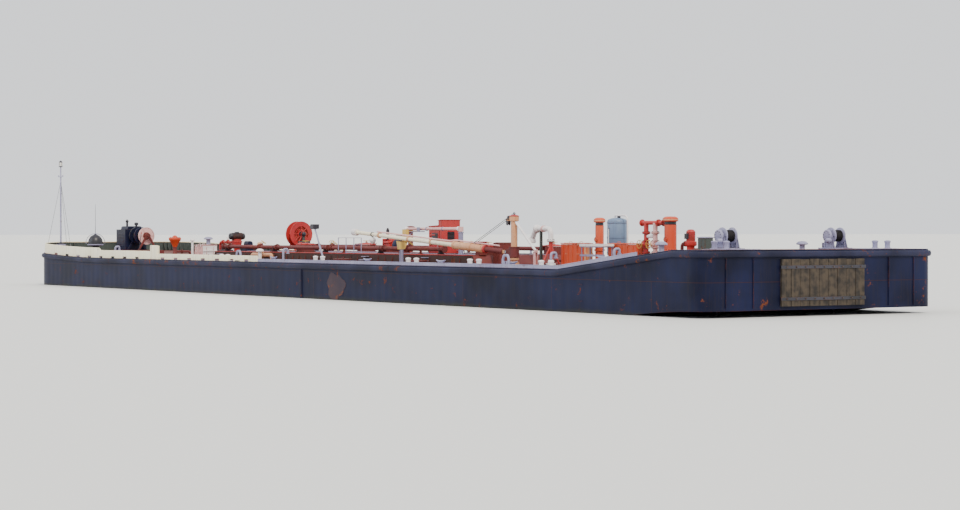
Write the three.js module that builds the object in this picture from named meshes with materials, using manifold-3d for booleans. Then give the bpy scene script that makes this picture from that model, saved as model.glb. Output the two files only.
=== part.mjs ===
// A river tank barge: a decked steel hull with raked ends, cream bulwarks forward, a low expansion trunk
// with tank hatches, and red, orange and tan cargo gear on deck. It is pushed, and has no engine of its own.
// Every size is the real barge's, in millimetres. The whole group is reduced to MODEL_SCALE at the end.
// X runs from the bow (-) to the stern (+), Y from port (-) to starboard (+), Z up from the flat bottom.
import * as THREE from "three";
import { mergeVertices } from "three/addons/utils/BufferGeometryUtils.js";
import Module from "manifold-3d";

const wasm = await Module();
wasm.setup();

const MODEL_SCALE = 0.5; // the real barge is 59.4 m long, so this is a half-size model
const LENGTH = 59400; // a standard 195 ft river barge
const BEAM = 10700; // 35 ft
const DEPTH = 3350; // flat bottom to main deck, amidships
const HALF = LENGTH / 2;
const SIDE = BEAM / 2;
const GAP = 0.8; // between pieces that rest on each other
const CLEAR = 12; // between pieces that move past each other
const TURN = 2 * Math.PI;
const FORE_AND_AFT = -TURN / 4; // turns a piece drawn across the barge, so that its port end faces the bow

// How far the deck edge rises over the main deck: [station along X, rise].
const SHEER = [
  [-HALF, 300],
  [-HALF + 2500, 170],
  [-HALF + 5000, 75],
  [-HALF + 7500, 18],
  [-HALF + 10000, 0],
  [HALF - 8400, 0],
  [HALF - 1600, 750],
  [HALF, 750],
];

const BOW_CORNER = 2600; // plan radius
const STERN_CORNER = 550;
const BILGE = 450;
const HEAD_LOG = 2250; // height of the lower edge of the bow plate
const BOW_RAKE = 10500;
const TRANSOM_FOOT = 2030; // height of the lower edge of the stern plate
const STERN_RAKE = 12500;

const RAIL = { out: 110, top: -50, foot: -260 }; // rubbing band, heights from the deck edge
const FRAMES = { bow: -HALF + BOW_RAKE, stern: HALF - STERN_RAKE }; // where the rakes meet the flat bottom
const BULWARK = {
  inset: 60,
  wall: 90,
  foreEnd: -20300,
  foreHeight: 520,
  end: -13150,
  height: 400,
  postLength: 750,
  postHeight: 690,
  lowEnd: -2350,
  lowHeight: 270,
};
const TRUNK = { fore: -12000, aft: 12000, side: 2800, height: 400, slope: 260 };
const HATCH = { radius: 430, wall: 60, height: 330, floor: 30, lid: 45, rim: 25 };
const HATCH_PLACES = [
  [-4500, -1650],
  [-4500, 1650],
  [11150, -1650],
  [11150, 1650],
];
const BITTS = {
  stations: [-25500, -15600, -6400, 2720, 10520, 15160, 20050],
  radius: 95,
  height: 260,
  spacing: 640,
  plate: 20,
  inset: 240,
  width: 380,
};

const BOOM = {
  heel: new THREE.Vector3(14850, -3150, 560), // the luffing pin, height over the deck
  post: new THREE.Vector2(15300, -3150),
  tipX: 2630,
  tipHeight: 1350,
  sleeveFore: 10900,
  sleeveAft: 13300,
  radius: 85,
  sleeveRadius: 160,
};
const SHORT_BOOM = { x: 9850, y: -2150, tipX: 5450, height: 1480, radius: 70 };
const CRUTCH = { x: 6710, seatGap: 60 }; // the seat lies this far under the boom

const SKEG = { y: 2700, thickness: 120, fore: 600, heel: 3200, aft: 2400, head: 5000 };
const PAD = { side: 1900, thickness: 100, foot: 120, top: 430 }; // heights from the stern plate's edges
const QUARTER_WINCH = { x: 27600, y: 2500, bittsX: 28700, bittsY: 3700 };
const MAINS = [
  // name, y, fore end, aft end
  ["cargo_main_port", -2480, -11300, 9100],
  ["cargo_main_starboard", 2480, -11300, 11300],
];
const LOCKER = { x: -18480, size: { length: 1000, width: 800, height: 620, wall: 30 } };
const CASINGS = [
  ["casing_fore", 15110, { length: 1620, width: 400, height: 860, wall: 30 }],
  ["casing_aft", 18420, { length: 1800, width: 420, height: 860, wall: 30 }],
];
const MAIN = { axis: 230, radius: 90, flange: 150, bays: 4, endBay: 300, saddle: 110 };

const paint = (color, roughness = 0.6, metalness = 0) =>
  new THREE.MeshStandardMaterial({ color, roughness, metalness });
const HULL_BLUE = paint(0x1c2340, 0.7);
const RAIL_GREY = paint(0x7b7a94, 0.75);
const CREAM = paint(0xf1ead2, 0.6);
const OXIDE = paint(0x7a2c26, 0.8);
const RED = paint(0xb8302a, 0.55);
const ORANGE = paint(0xd2592f, 0.55);
const TAN = paint(0xc98d62, 0.6);
const WHITE = paint(0xe8e2dc, 0.6);
const BLACK = paint(0x17161c, 0.6);
const ENGINE_BLUE = paint(0x23293f, 0.5);
const TANK_GREY = paint(0x7c8aa0, 0.5);
const TIMBER = paint(0x6b5236, 0.85);

const barge = new THREE.Group();

// Solids

function solidOf(geometry) {
  const bare = geometry.clone();
  for (const name of Object.keys(bare.attributes)) {
    if (name !== "position") bare.deleteAttribute(name);
  }
  const merged = mergeVertices(bare, 1e-3);
  return new wasm.Manifold(
    new wasm.Mesh({
      numProp: 3,
      vertProperties: merged.attributes.position.array,
      triVerts: new Uint32Array(merged.index.array),
    }),
  );
}

function geometryOf(solid) {
  const mesh = solid.getMesh();
  const points = new Float32Array(mesh.numVert * 3);
  for (let i = 0; i < mesh.numVert; i++) {
    points.set(mesh.vertProperties.subarray(i * mesh.numProp, i * mesh.numProp + 3), i * 3);
  }
  return new THREE.BufferGeometry()
    .setAttribute("position", new THREE.BufferAttribute(points, 3))
    .setIndex(new THREE.BufferAttribute(new Uint32Array(mesh.triVerts), 1));
}

const join = (...parts) => geometryOf(parts.map(solidOf).reduce((a, b) => a.add(b)));
const cut = (body, ...tools) => geometryOf(tools.map(solidOf).reduce((a, b) => a.subtract(b), solidOf(body)));
const common = (...parts) => geometryOf(parts.map(solidOf).reduce((a, b) => a.intersect(b)));

function slab(x0, x1, y0, y1, z0, z1) {
  return new THREE.BoxGeometry(x1 - x0, y1 - y0, z1 - z0).translate(
    (x0 + x1) / 2,
    (y0 + y1) / 2,
    (z0 + z1) / 2,
  );
}

// A round bar between two points.
function bar(radius, from, to, sides = 12) {
  const a = new THREE.Vector3(...from);
  const b = new THREE.Vector3(...to);
  const along = b.clone().sub(a);
  const turn = new THREE.Quaternion().setFromUnitVectors(
    new THREE.Vector3(0, 1, 0),
    along.clone().normalize(),
  );
  const middle = a.add(b).multiplyScalar(0.5);
  return new THREE.CylinderGeometry(radius, radius, along.length(), sides)
    .applyQuaternion(turn)
    .translate(middle.x, middle.y, middle.z);
}

// A body turned about Z from [radius, height] pairs that start and end on the axis.
function turned(profile, x = 0, y = 0, sides = 16) {
  const points = profile.map(([r, z]) => new THREE.Vector2(r, z));
  return new THREE.LatheGeometry(points, sides).rotateX(Math.PI / 2).translate(x, y, 0);
}

// A pipe along points, with rounded corners.
function pipe(radius, corners, bend = 3, sides = 10, steps = 6) {
  const path = new THREE.CurvePath();
  const p = corners.map((c) => new THREE.Vector3(...c));
  let start = p[0];
  for (let i = 1; i < p.length - 1; i++) {
    const reach = radius * bend;
    const before = p[i].clone().add(p[i - 1].clone().sub(p[i]).setLength(reach));
    const after = p[i].clone().add(p[i + 1].clone().sub(p[i]).setLength(reach));
    path.add(new THREE.LineCurve3(start, before));
    path.add(new THREE.QuadraticBezierCurve3(before, p[i], after));
    start = after;
  }
  path.add(new THREE.LineCurve3(start, p[p.length - 1]));
  const round = new THREE.Shape().absarc(0, 0, radius, 0, TURN, false);
  return new THREE.ExtrudeGeometry(round, {
    extrudePath: path,
    steps: steps * (2 * corners.length - 3),
    curveSegments: sides / 2,
  });
}

// Outlines drawn in X and Z, in X and Y, and in Y and Z, and their extrusions.
function across(shape, y0, y1, segments = 8) {
  return new THREE.ExtrudeGeometry(shape, { depth: y1 - y0, bevelEnabled: false, curveSegments: segments })
    .rotateX(Math.PI / 2)
    .translate(0, y1, 0);
}

function upward(shape, z0, z1, segments = 8) {
  return new THREE.ExtrudeGeometry(shape, {
    depth: z1 - z0,
    bevelEnabled: false,
    curveSegments: segments,
  }).translate(0, 0, z0);
}

function lengthwise(shape, x0, x1, segments = 5) {
  return new THREE.ExtrudeGeometry(shape, { depth: x1 - x0, bevelEnabled: false, curveSegments: segments })
    .rotateX(Math.PI / 2)
    .rotateZ(Math.PI / 2)
    .translate(x0, 0, 0);
}

const outline = (points) => new THREE.Shape(points.map(([a, b]) => new THREE.Vector2(a, b)));

function deckZ(x) {
  const last = SHEER.length - 1;
  const held = Math.min(Math.max(x, SHEER[0][0]), SHEER[last][0]);
  const i = Math.min(
    SHEER.findLastIndex(([station]) => station <= held),
    last - 1,
  );
  const [x0, rise0] = SHEER[i];
  const [x1, rise1] = SHEER[i + 1];
  return DEPTH + rise0 + ((rise1 - rise0) * (held - x0)) / (x1 - x0);
}

// The band between two heights over the deck edge, from x0 to x1.
function deckBand(x0, x1, low, high) {
  const stations = [x0, ...SHEER.map(([x]) => x).filter((x) => x > x0 && x < x1), x1];
  return outline([
    ...stations.map((x) => [x, deckZ(x) + low]),
    ...stations.toReversed().map((x) => [x, deckZ(x) + high]),
  ]);
}

// The hull's outline seen from above, inset all round.
function planShape(inset) {
  const x = HALF - inset;
  const y = SIDE - inset;
  const bow = BOW_CORNER - inset;
  const stern = STERN_CORNER - inset;
  return new THREE.Shape()
    .moveTo(-x + bow, -y)
    .lineTo(x - stern, -y)
    .absarc(x - stern, -y + stern, stern, -Math.PI / 2, 0, false)
    .absarc(x - stern, y - stern, stern, 0, Math.PI / 2, false)
    .absarc(-x + bow, y - bow, bow, Math.PI / 2, Math.PI, false)
    .absarc(-x + bow, -y + bow, bow, Math.PI, 1.5 * Math.PI, false);
}

// A steel foundation: its underside follows the deck and its top is level.
function foundation(x0, x1, y0, y1, top) {
  const stations = [x0, ...SHEER.map(([x]) => x).filter((x) => x > x0 && x < x1), x1];
  const shape = outline([...stations.map((x) => [x, deckZ(x) + GAP]), [x1, top], [x0, top]]);
  return across(shape, y0, y1);
}

function add(name, geometry, material, x = 0, y = 0, z = 0) {
  const mesh = new THREE.Mesh(geometry, material);
  mesh.name = name;
  mesh.position.set(x, y, z);
  barge.add(mesh);
}

// A piece that stands level on a foundation that reaches out to each side of it.
function addOnDeck(name, geometry, material, x, y, reach) {
  const z = Math.max(deckZ(x - reach), deckZ(x + reach)) + GAP;
  const base = foundation(x - reach, x + reach, y - reach, y + reach, z + 25).translate(-x, -y, -z);
  add(name, join(geometry, base), material, x, y, z);
}

// A butt hinge: two fixed barrels at the ends and a moving one between them, all on one axis.
// axis is "x" or "z"; the barrels run from low to high along it, through the point (u, v) of the other two.
function hingeBarrels(axis, u, v, low, high, radius) {
  const point = (t) => (axis === "x" ? [t, u, v] : [u, v, t]);
  const third = (high - low) / 3;
  const piece = (a, b) => bar(radius, point(a), point(b), 8);
  return {
    fixed: [piece(low, low + third - CLEAR / 2), piece(high - third + CLEAR / 2, high)],
    moving: piece(low + third + CLEAR / 2, high - third - CLEAR / 2),
  };
}

// Hull

function hullSide() {
  const shape = new THREE.Shape()
    .moveTo(-HALF, HEAD_LOG)
    .quadraticCurveTo(-HALF + BOW_RAKE * 0.45, 0, -HALF + BOW_RAKE, 0)
    .lineTo(HALF - STERN_RAKE, 0)
    .quadraticCurveTo(HALF - STERN_RAKE * 0.45, TRANSOM_FOOT, HALF, TRANSOM_FOOT);
  for (const [x] of SHEER.toReversed()) shape.lineTo(x, deckZ(x));
  return shape;
}

function hullSection() {
  const top = DEPTH + 1000;
  return new THREE.Shape()
    .moveTo(-SIDE, BILGE)
    .absarc(-SIDE + BILGE, BILGE, BILGE, Math.PI, 1.5 * Math.PI, false)
    .absarc(SIDE - BILGE, BILGE, BILGE, 1.5 * Math.PI, TURN, false)
    .lineTo(SIDE, top)
    .lineTo(-SIDE, top);
}

// The part of a geometry between two frames, a little short of each so that neighbours don't touch.
function between(geometry, x0, x1) {
  const reach = SIDE + 2 * RAIL.out;
  return common(geometry, slab(x0 + GAP / 2, x1 - GAP / 2, -reach, reach, -GAP, 2 * DEPTH));
}

function addHull() {
  const shell = common(
    across(hullSide(), -SIDE, SIDE, 10),
    upward(planShape(0), 0, DEPTH + 1000, 6),
    lengthwise(hullSection(), -HALF, HALF, 4),
  );
  const end = HALF + 2 * RAIL.out;
  const skegSide = new THREE.Shape()
    .moveTo(FRAMES.stern + SKEG.fore, 10)
    .lineTo(HALF - SKEG.heel, 0)
    .lineTo(HALF - SKEG.aft, TRANSOM_FOOT * 0.9)
    .lineTo(HALF - SKEG.aft, TRANSOM_FOOT + SKEG.thickness / 2)
    .lineTo(HALF - SKEG.head, TRANSOM_FOOT);
  const skegs = [-SKEG.y, SKEG.y].map((y) => {
    return across(skegSide, y - SKEG.thickness / 2, y + SKEG.thickness / 2);
  });
  add("hull_bow", between(shell, -end, FRAMES.bow), HULL_BLUE);
  add("hull_midbody", between(shell, FRAMES.bow, FRAMES.stern), HULL_BLUE);
  add("hull_stern", join(between(shell, FRAMES.stern, end), ...skegs), HULL_BLUE);

  const reach = HALF + RAIL.out;
  const band = across(deckBand(-reach, reach, RAIL.foot, RAIL.top), -reach, reach);
  const ring = cut(
    upward(planShape(-RAIL.out), 0, 2 * DEPTH, 6),
    upward(planShape(-GAP), -1, 2 * DEPTH + 1, 6),
  );
  const rail = common(band, ring);
  add("rail_bow", between(rail, -end, FRAMES.bow), RAIL_GREY);
  add("rail_stern", between(rail, FRAMES.stern, end), RAIL_GREY);
  const middle = between(rail, FRAMES.bow, FRAMES.stern);
  add("rail_port", common(middle, slab(-HALF, HALF, -2 * SIDE, 0, 0, 2 * DEPTH)), RAIL_GREY);
  add("rail_starboard", common(middle, slab(-HALF, HALF, 0, 2 * SIDE, 0, 2 * DEPTH)), RAIL_GREY);

  const face = HALF + GAP;
  const foot = TRANSOM_FOOT + PAD.foot;
  add("stern_pad", slab(face, face + PAD.thickness, -PAD.side, PAD.side, foot, DEPTH + PAD.top), TIMBER);
}

// Bulwarks, coamings and the mooring bitts along the deck edge

function addDeckEdge() {
  const { inset, wall, foreEnd, foreHeight, end, height } = BULWARK;
  const { postLength, postHeight, lowEnd, lowHeight } = BULWARK;
  const ring = cut(
    upward(planShape(inset), DEPTH, DEPTH + 1500, 6),
    upward(planShape(inset + wall), DEPTH - 1, DEPTH + 1501, 6),
  );
  const band = join(
    across(deckBand(-HALF, foreEnd, GAP, foreHeight), -SIDE, SIDE),
    across(deckBand(foreEnd - 10, end, GAP, height), -SIDE, SIDE),
    across(deckBand(end - postLength, end, GAP, postHeight), -SIDE, SIDE),
    across(deckBand(end - 10, lowEnd, GAP, lowHeight), -SIDE, SIDE),
  );
  add("bow_bulwark", common(ring, band), CREAM);

  const { plate, stations } = BITTS;
  for (const [name, hand] of [["bitts_port", -1], ["bitts_starboard", 1]]) {
    const middle = hand * (SIDE - BITTS.inset - BITTS.width / 2);
    const strip = deckBand(stations[0] - 700, stations.at(-1) + 700, GAP, GAP + plate);
    const pieces = [across(strip, middle - BITTS.width / 2, middle + BITTS.width / 2)];
    for (const station of stations) pieces.push(...bittPair(station, middle));
    add(name, join(...pieces), WHITE);
  }
}

function bittPair(station, y) {
  const { radius, height, spacing, plate } = BITTS;
  const profile = [[0, 0], [radius, 0], [radius, height], [0, height + 40]];
  return [station - spacing / 2, station + spacing / 2].map((x) =>
    turned(profile, x, y, 8).translate(0, 0, deckZ(x) + plate / 2),
  );
}

// Trunk, tank hatches and the cargo mains along it

function addTrunk() {
  const { fore, aft, side, height, slope } = TRUNK;
  const shape = outline([
    [fore, DEPTH + GAP],
    [aft, DEPTH + GAP],
    [aft - slope, DEPTH + height],
    [fore + slope, DEPTH + height],
  ]);
  add("cargo_trunk", across(shape, -side, side), OXIDE);

  const top = DEPTH + height + GAP;
  HATCH_PLACES.forEach(([x, y], i) => addHatch(i + 1, x, y, top));

  for (const [name, y, from, to] of MAINS) addMain(name, y, from, to, top);
}

// A round tank hatch, hinged on its inboard side.
function addHatch(number, x, y, z) {
  const { radius, wall, height, floor, lid, rim } = HATCH;
  const inboard = -Math.sign(y);
  const axisY = inboard * (radius + 75);
  const axisZ = height + CLEAR + lid / 2;
  const barrels = hingeBarrels("x", axisY, axisZ, -180, 180, 28);
  const coaming = cut(
    turned([[0, 0], [radius, 0], [radius, height], [0, height]], 0, 0, 16),
    turned([[0, floor], [radius - wall, floor], [radius - wall, height + 1], [0, height + 1]], 0, 0, 16),
  );
  const ears = [-120, 120].map((mid) => {
    const far = axisY + inboard * 10;
    const near = inboard * (radius - 25);
    return slab(mid - 45, mid + 45, Math.min(far, near), Math.max(far, near), height - 140, axisZ);
  });
  const [low, high] = [0, inboard * (radius + 5)].sort((a, b) => a - b);
  const notch = cut(
    slab(-180, 180, low, high, height, axisZ + 200),
    slab(-400, 400, -(radius - 26), radius - 26, 0, 900),
  );
  const fixed = cut(join(coaming, ...ears, ...barrels.fixed), notch);
  add(`hatch_coaming_${number}`, fixed, OXIDE, x, y, z);

  const cover = turned(
    [
      [0, height + CLEAR],
      [radius + rim, height + CLEAR],
      [radius + rim, height + CLEAR + lid],
      [0, height + CLEAR + lid + 50],
    ],
    0,
    0,
    16,
  );
  const ends = [0, axisY].sort((a, b) => a - b);
  const strap = slab(-50, 50, ends[0], ends[1], height + CLEAR, axisZ + 20);
  const clearance = [-120, 120].map((mid) => {
    const from = inboard * (radius - 40);
    const to = inboard * (radius + 120);
    return slab(mid - 62, mid + 62, Math.min(from, to), Math.max(from, to), 0, height + 400);
  });
  const trimmed = cut(join(cover, strap), ...clearance);
  add(`hatch_lid_${number}`, join(trimmed, barrels.moving), RED, x, y, z);
}

// A cargo pipe on saddles, with pairs of flanges where its lengths meet.
function addMain(name, y, from, to, z) {
  const { radius, flange, bays, endBay, saddle } = MAIN;
  const axisZ = z + MAIN.axis;
  const pieces = [bar(radius, [from, y, axisZ], [to, y, axisZ], 10)];
  for (let i = 0; i <= bays; i++) {
    const x = from + endBay + ((to - from - 2 * endBay) * i) / bays;
    pieces.push(slab(x - 60, x + 60, y - saddle, y + saddle, z, axisZ));
    pieces.push(bar(flange, [x + 260, y, axisZ], [x + 320, y, axisZ], 10));
  }
  add(name, join(...pieces), ORANGE);
}

// Bow gear

function addWindlass() {
  const x = -26800;
  const z = deckZ(x - 1850) + GAP;
  const axisZ = 880;
  const bed = foundation(x - 1850, x + 1250, -900, 900, z + 90).translate(-x, 0, -z);
  const engine = slab(-650, 650, -1750, -520, 80, 1250);
  const hood = slab(-450, 420, -1600, -700, 1240, 1420);
  const cheeks = [-430, 1000].map((y) =>
    across(outline([[-560, 80], [560, 80], [200, axisZ + 160], [-200, axisZ + 160]]), y, y + 90),
  );
  const bearings = [-430, 1000].map((y) => bar(150, [0, y - 30, axisZ], [0, y + 120, axisZ], 12));
  const stack = bar(60, [250, -1150, 1400], [250, -1150, 1780], 10);
  const journal = bar(72, [0, -1000, axisZ], [0, 1300, axisZ], 12);
  const frame = cut(join(engine, hood, ...cheeks, ...bearings, stack), journal).rotateZ(FORE_AND_AFT);
  add("windlass_frame", join(bed, frame), ENGINE_BLUE, x, 0, z);

  const shaft = bar(60, [0, -440, axisZ], [0, 1180, axisZ], 12);
  const core = bar(230, [0, -240, axisZ], [0, 860, axisZ], 16);
  const flanges = [-300, 260, 840].map((y) => bar(480, [0, y, axisZ], [0, y + 60, axisZ], 20));
  add("windlass_drum", join(shaft, core, ...flanges).rotateZ(FORE_AND_AFT), RED, x, 0, z);
}

function addBowGear() {
  addWindlass();
  const hood = [
    [0, 0],
    [330, 0],
    [330, 90],
    [190, 130],
    [190, 480],
    [430, 520],
    [400, 700],
    [250, 980],
    [60, 1140],
    [0, 1150],
  ];
  addOnDeck("bow_vent", turned(hood), BLACK, -25190, -3350, 360);

  const staff = join(
    slab(-240, 240, -200, 200, 0, 420),
    bar(48, [0, 0, 400], [0, 0, 4760], 10),
    bar(20, [-300, 0, 4150], [300, 0, 4150], 8),
    turned([[0, 4700], [110, 4700], [110, 4780], [85, 4790], [85, 4980], [120, 4990], [0, 5060]], 0, 0, 10),
  );
  addOnDeck("light_staff", staff, RAIL_GREY, -28700, -3900, 240);

  const bell = [
    [0, 0],
    [250, 0],
    [250, 50],
    [120, 60],
    [100, 520],
    [190, 700],
    [330, 900],
    [330, 1010],
    [140, 1020],
    [60, 1130],
    [0, 1140],
  ];
  addOnDeck("fore_valve", turned(bell), ORANGE, -22260, 0, 290);
}

// A steel box with an open top, and the lid that is hinged along its starboard edge.
function addLiddedBox(name, x, z, { length, width, height, wall }, paintwork) {
  const hinges = [-0.55, 0.55]; // places along the box, as shares of half its length
  const l = length / 2;
  const w = width / 2;
  const axisY = w + 45;
  const axisZ = height + CLEAR + 20;
  const barrels = hinges.map((t) => hingeBarrels("x", axisY, axisZ, t * l - 150, t * l + 150, 22));
  const box = cut(
    slab(-l, l, -w, w, 0, height),
    slab(-l + wall, l - wall, -w + wall, w - wall, wall, height + 1),
  );
  const lidFoot = height + CLEAR;
  const straps = hinges.map((t) => slab(t * l - 38, t * l + 38, w - 60, axisY, lidFoot, axisZ + 18));
  const earPlaces = hinges.flatMap((t) => [t * l - 100, t * l + 100]);
  const ears = earPlaces.map((u) => slab(u - 40, u + 40, w - 5, axisY + 12, height - 120, axisZ));
  add(name, join(box, ...ears, ...barrels.flatMap((b) => b.fixed)), paintwork, x, 0, z);
  const lid = cut(
    slab(-l - 20, l + 20, -w - 20, w + 10, lidFoot, lidFoot + 40),
    ...earPlaces.map((u) => slab(u - 52, u + 52, w - 20, w + 60, height - 10, height + 100)),
  );
  add(`${name}_lid`, join(lid, ...straps, ...barrels.map((b) => b.moving)), paintwork, x, 0, z);
}

// Pumps, the hose reel and the power house

function addFrontPump() {
  const z = DEPTH + GAP;
  const profile = [
    [0, 0],
    [230, 0],
    [230, 60],
    [130, 80],
    [150, 500],
    [260, 760],
    [260, 900],
    [0, 900],
  ];
  const body = turned(profile);
  const motor = bar(170, [0, -430, 1120], [0, 430, 1120], 16);
  const saddle = slab(-110, 110, -200, 200, 880, 1010);
  const discharge = pipe(70, [[-100, 0, 820], [-1500, 0, 820], [-1900, 0, 820], [-1900, 0, 2]], 2.5, 10, 2);
  add("fore_pump", join(body, motor, saddle, discharge), RED, -14880, 0, z);
}

function addReel() {
  const x = -8190;
  const z = DEPTH + TRUNK.height + GAP;
  const axisZ = 840;
  const flangeR = 620;
  const legs = [];
  for (const y of [-390, 330]) {
    legs.push(bar(45, [-430, y + 30, 30], [0, y + 30, axisZ], 8));
    legs.push(bar(45, [430, y + 30, 30], [0, y + 30, axisZ], 8));
    legs.push(bar(95, [0, y, axisZ], [0, y + 60, axisZ], 12));
  }
  const sills = [-430, 430].map((s) => slab(s - 60, s + 60, -410, 410, 0, 60));
  const hole = bar(57, [0, -700, axisZ], [0, 700, axisZ], 12);
  add("reel_stand", cut(join(...sills, ...legs), hole).rotateZ(FORE_AND_AFT), RED, x, 0, z);

  const wheel = (y) => {
    const ring = cut(
      bar(flangeR, [0, y, axisZ], [0, y + 50, axisZ], 18),
      bar(flangeR - 130, [0, y - 1, axisZ], [0, y + 51, axisZ], 18),
    );
    const spokes = [0, 1, 2].map((i) => {
      const a = (i * Math.PI) / 3 + Math.PI / 6;
      const dx = Math.cos(a) * (flangeR - 60);
      const dz = Math.sin(a) * (flangeR - 60);
      return bar(22, [-dx, y + 25, axisZ - dz], [dx, y + 25, axisZ + dz], 6);
    });
    return join(ring, ...spokes);
  };
  const core = bar(190, [0, -230, axisZ], [0, 230, axisZ], 16);
  const shaft = bar(45, [0, -430, axisZ], [0, 430, axisZ], 12);
  const drum = join(core, shaft, wheel(-240), wheel(190));
  add("reel_drum", drum.rotateZ(FORE_AND_AFT), RED, x, 0, z);
}

function addMidPump() {
  const z = DEPTH + TRUNK.height + GAP;
  const parts = join(
    slab(-700, 700, -360, 360, 0, 90),
    slab(-600, 20, -330, 330, 80, 640),
    slab(60, 640, -300, 300, 80, 600),
    bar(130, [0, 0, 340], [80, 0, 340], 12),
    bar(45, [-420, -150, 600], [-420, -150, 1130], 10),
    pipe(75, [[-300, 320, 300], [-300, 900, 300], [-300, 900, 2]], 2.5, 10, 2),
  );
  add("mid_pump", parts, RED, 950, 0, z);
}

// The hydraulic power house: a hollow steel cabinet with a door to port, and a raised, louvred air trunk aft.
function addPowerHouse() {
  const x = 5140;
  const z = DEPTH + TRUNK.height + GAP;
  const l = 520;
  const w = 480;
  const wall = 40;
  const step = 290; // where the air trunk begins
  const low = 1190;
  const high = 1225;
  const top = 1470;
  const outside = outline([[-l, 0], [l, 0], [l, top], [step, top - 20], [step, high], [-l, low]]);
  const inside = outline([
    [-l + wall, wall],
    [l - wall, wall],
    [l - wall, top - 60],
    [step + wall, top - 70],
    [step + wall, high - wall],
    [-l + wall, low - wall],
  ]);
  const shell = cut(
    across(outside, -w, w),
    across(inside, -w + wall, w - wall),
    slab(-380, 380, -w - 1, -w + wall + 1, 110, 1010),
    slab(l - wall - 1, l + 1, -170, 190, 620, 960),
  );
  const slats = [0, 1, 2].map((i) => slab(l - wall, l - 10, -180, 200, 690 + i * 90, 712 + i * 90));
  const exhaust = bar(50, [60, 250, high - 80], [60, 250, 1480], 10);
  const axisX = -400;
  const axisY = -w - 30;
  const hinges = [300, 820];
  const barrels = hinges.map((h) => hingeBarrels("z", axisX, axisY, h - 110, h + 110, 20));
  const ears = hinges
    .flatMap((h) => [h - 73, h + 73])
    .map((h) => slab(axisX - 45, axisX, axisY - 8, -w + 5, h - 30, h + 30));
  const fixed = barrels.flatMap((b) => b.fixed);
  add("power_house", join(shell, ...slats, exhaust, ...ears, ...fixed), RED, x, 0, z);

  const engine = join(slab(-360, 330, -250, 250, 0, 620), slab(-200, 200, -160, 160, 600, 760));
  add("power_unit", engine.translate(0, 0, wall + GAP), BLACK, x, 20, z);

  const gap = CLEAR;
  const panel = slab(axisX + 32, 380 - gap - 4, -w - 20, -w + wall - 5, 110 + gap, 1010 - gap);
  const straps = hinges.map((h) => slab(axisX, axisX + 60, axisY - 10, -w - 12, h - 28, h + 28));
  const handle = slab(290, 330, -w - 60, -w - 15, 520, 680);
  add("power_house_door", join(panel, ...straps, handle, ...barrels.map((b) => b.moving)), RED, x, 0, z);
}

// The hose derrick: kingpost and brace, a collar that slews round the post, and the long boom

function addDerrick() {
  const { heel, post, tipX, tipHeight, sleeveFore, sleeveAft, radius, sleeveRadius } = BOOM;
  const z = DEPTH + GAP;
  const postR = 130;
  const kingpost = join(
    bar(postR, [0, 0, 0], [0, 0, 1900], 16),
    bar(240, [0, 0, 0], [0, 0, 40], 16),
    bar(postR + 60, [0, 0, 250], [0, 0, 330], 16),
    bar(48, [40, 0, 1800], [1480, 0, 620], 10),
    slab(1410, 1570, -80, 80, 0, 670),
    slab(1350, 1630, -110, 110, 0, 30),
    bar(190, [0, 0, 1780], [0, 0, 1980], 16),
    slab(-440, -100, -75, 75, 1790, 1870),
    bar(120, [-420, -60, 1830], [-420, 60, 1830], 12),
  );
  add("kingpost", kingpost, TAN, post.x, post.y, z);
  const ring = (r, low, high) =>
    cut(bar(r, [0, 0, low], [0, 0, high], 16), bar(postR + CLEAR, [0, 0, low - 1], [0, 0, high + 1], 16));
  const pinX = heel.x - post.x;
  const cheek = outline([
    [-150, 400],
    [-150, 720],
    [pinX - 80, heel.z + 90],
    [pinX - 80, heel.z - 90],
  ]);
  const ears = [-110, 70].map((y) =>
    across(cheek, y, y + 40),
  );
  const hole = bar(postR + CLEAR, [0, 0, 300], [0, 0, 900], 16);
  const collar = join(
    ring(postR + 70, 345, 770),
    cut(join(...ears), hole),
    bar(38, [pinX, -130, heel.z], [pinX, 130, heel.z], 12),
  );
  add("boom_collar", collar, ORANGE, post.x, post.y, z);

  const run = heel.x - tipX;
  const rise = (tipHeight - heel.z) / run;
  const axisAt = (x) => [x, heel.y, z + heel.z + (heel.x - x) * rise];
  const lug = cut(
    join(
      bar(100, [heel.x, heel.y - 55, z + heel.z], [heel.x, heel.y + 55, z + heel.z], 16),
      slab(heel.x - 420, heel.x, heel.y - 50, heel.y + 50, z + heel.z - 60, z + heel.z + 80),
    ),
    bar(38 + CLEAR, [heel.x, heel.y - 200, z + heel.z], [heel.x, heel.y + 200, z + heel.z], 12),
  );
  const spar = join(
    lug,
    bar(radius + 25, axisAt(heel.x - 330), axisAt(sleeveAft), 12),
    bar(sleeveRadius, axisAt(sleeveAft), axisAt(sleeveFore), 14),
    bar(radius, axisAt(sleeveFore + 100), axisAt(tipX + 150), 10),
    bar(150, axisAt(tipX + 320), axisAt(tipX), 14),
    bar(125, axisAt(9100), axisAt(9180), 10),
    bar(125, axisAt(7300), axisAt(7380), 10),
  );
  const [blockX, blockY, blockZ] = axisAt(4300);
  const block = join(
    bar(24, [blockX, blockY, blockZ], [blockX, blockY, blockZ - 180], 8),
    new THREE.SphereGeometry(150, 12, 8).translate(blockX, blockY, blockZ - 260),
  );
  add("hose_boom", join(spar, block), TAN);
}

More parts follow.
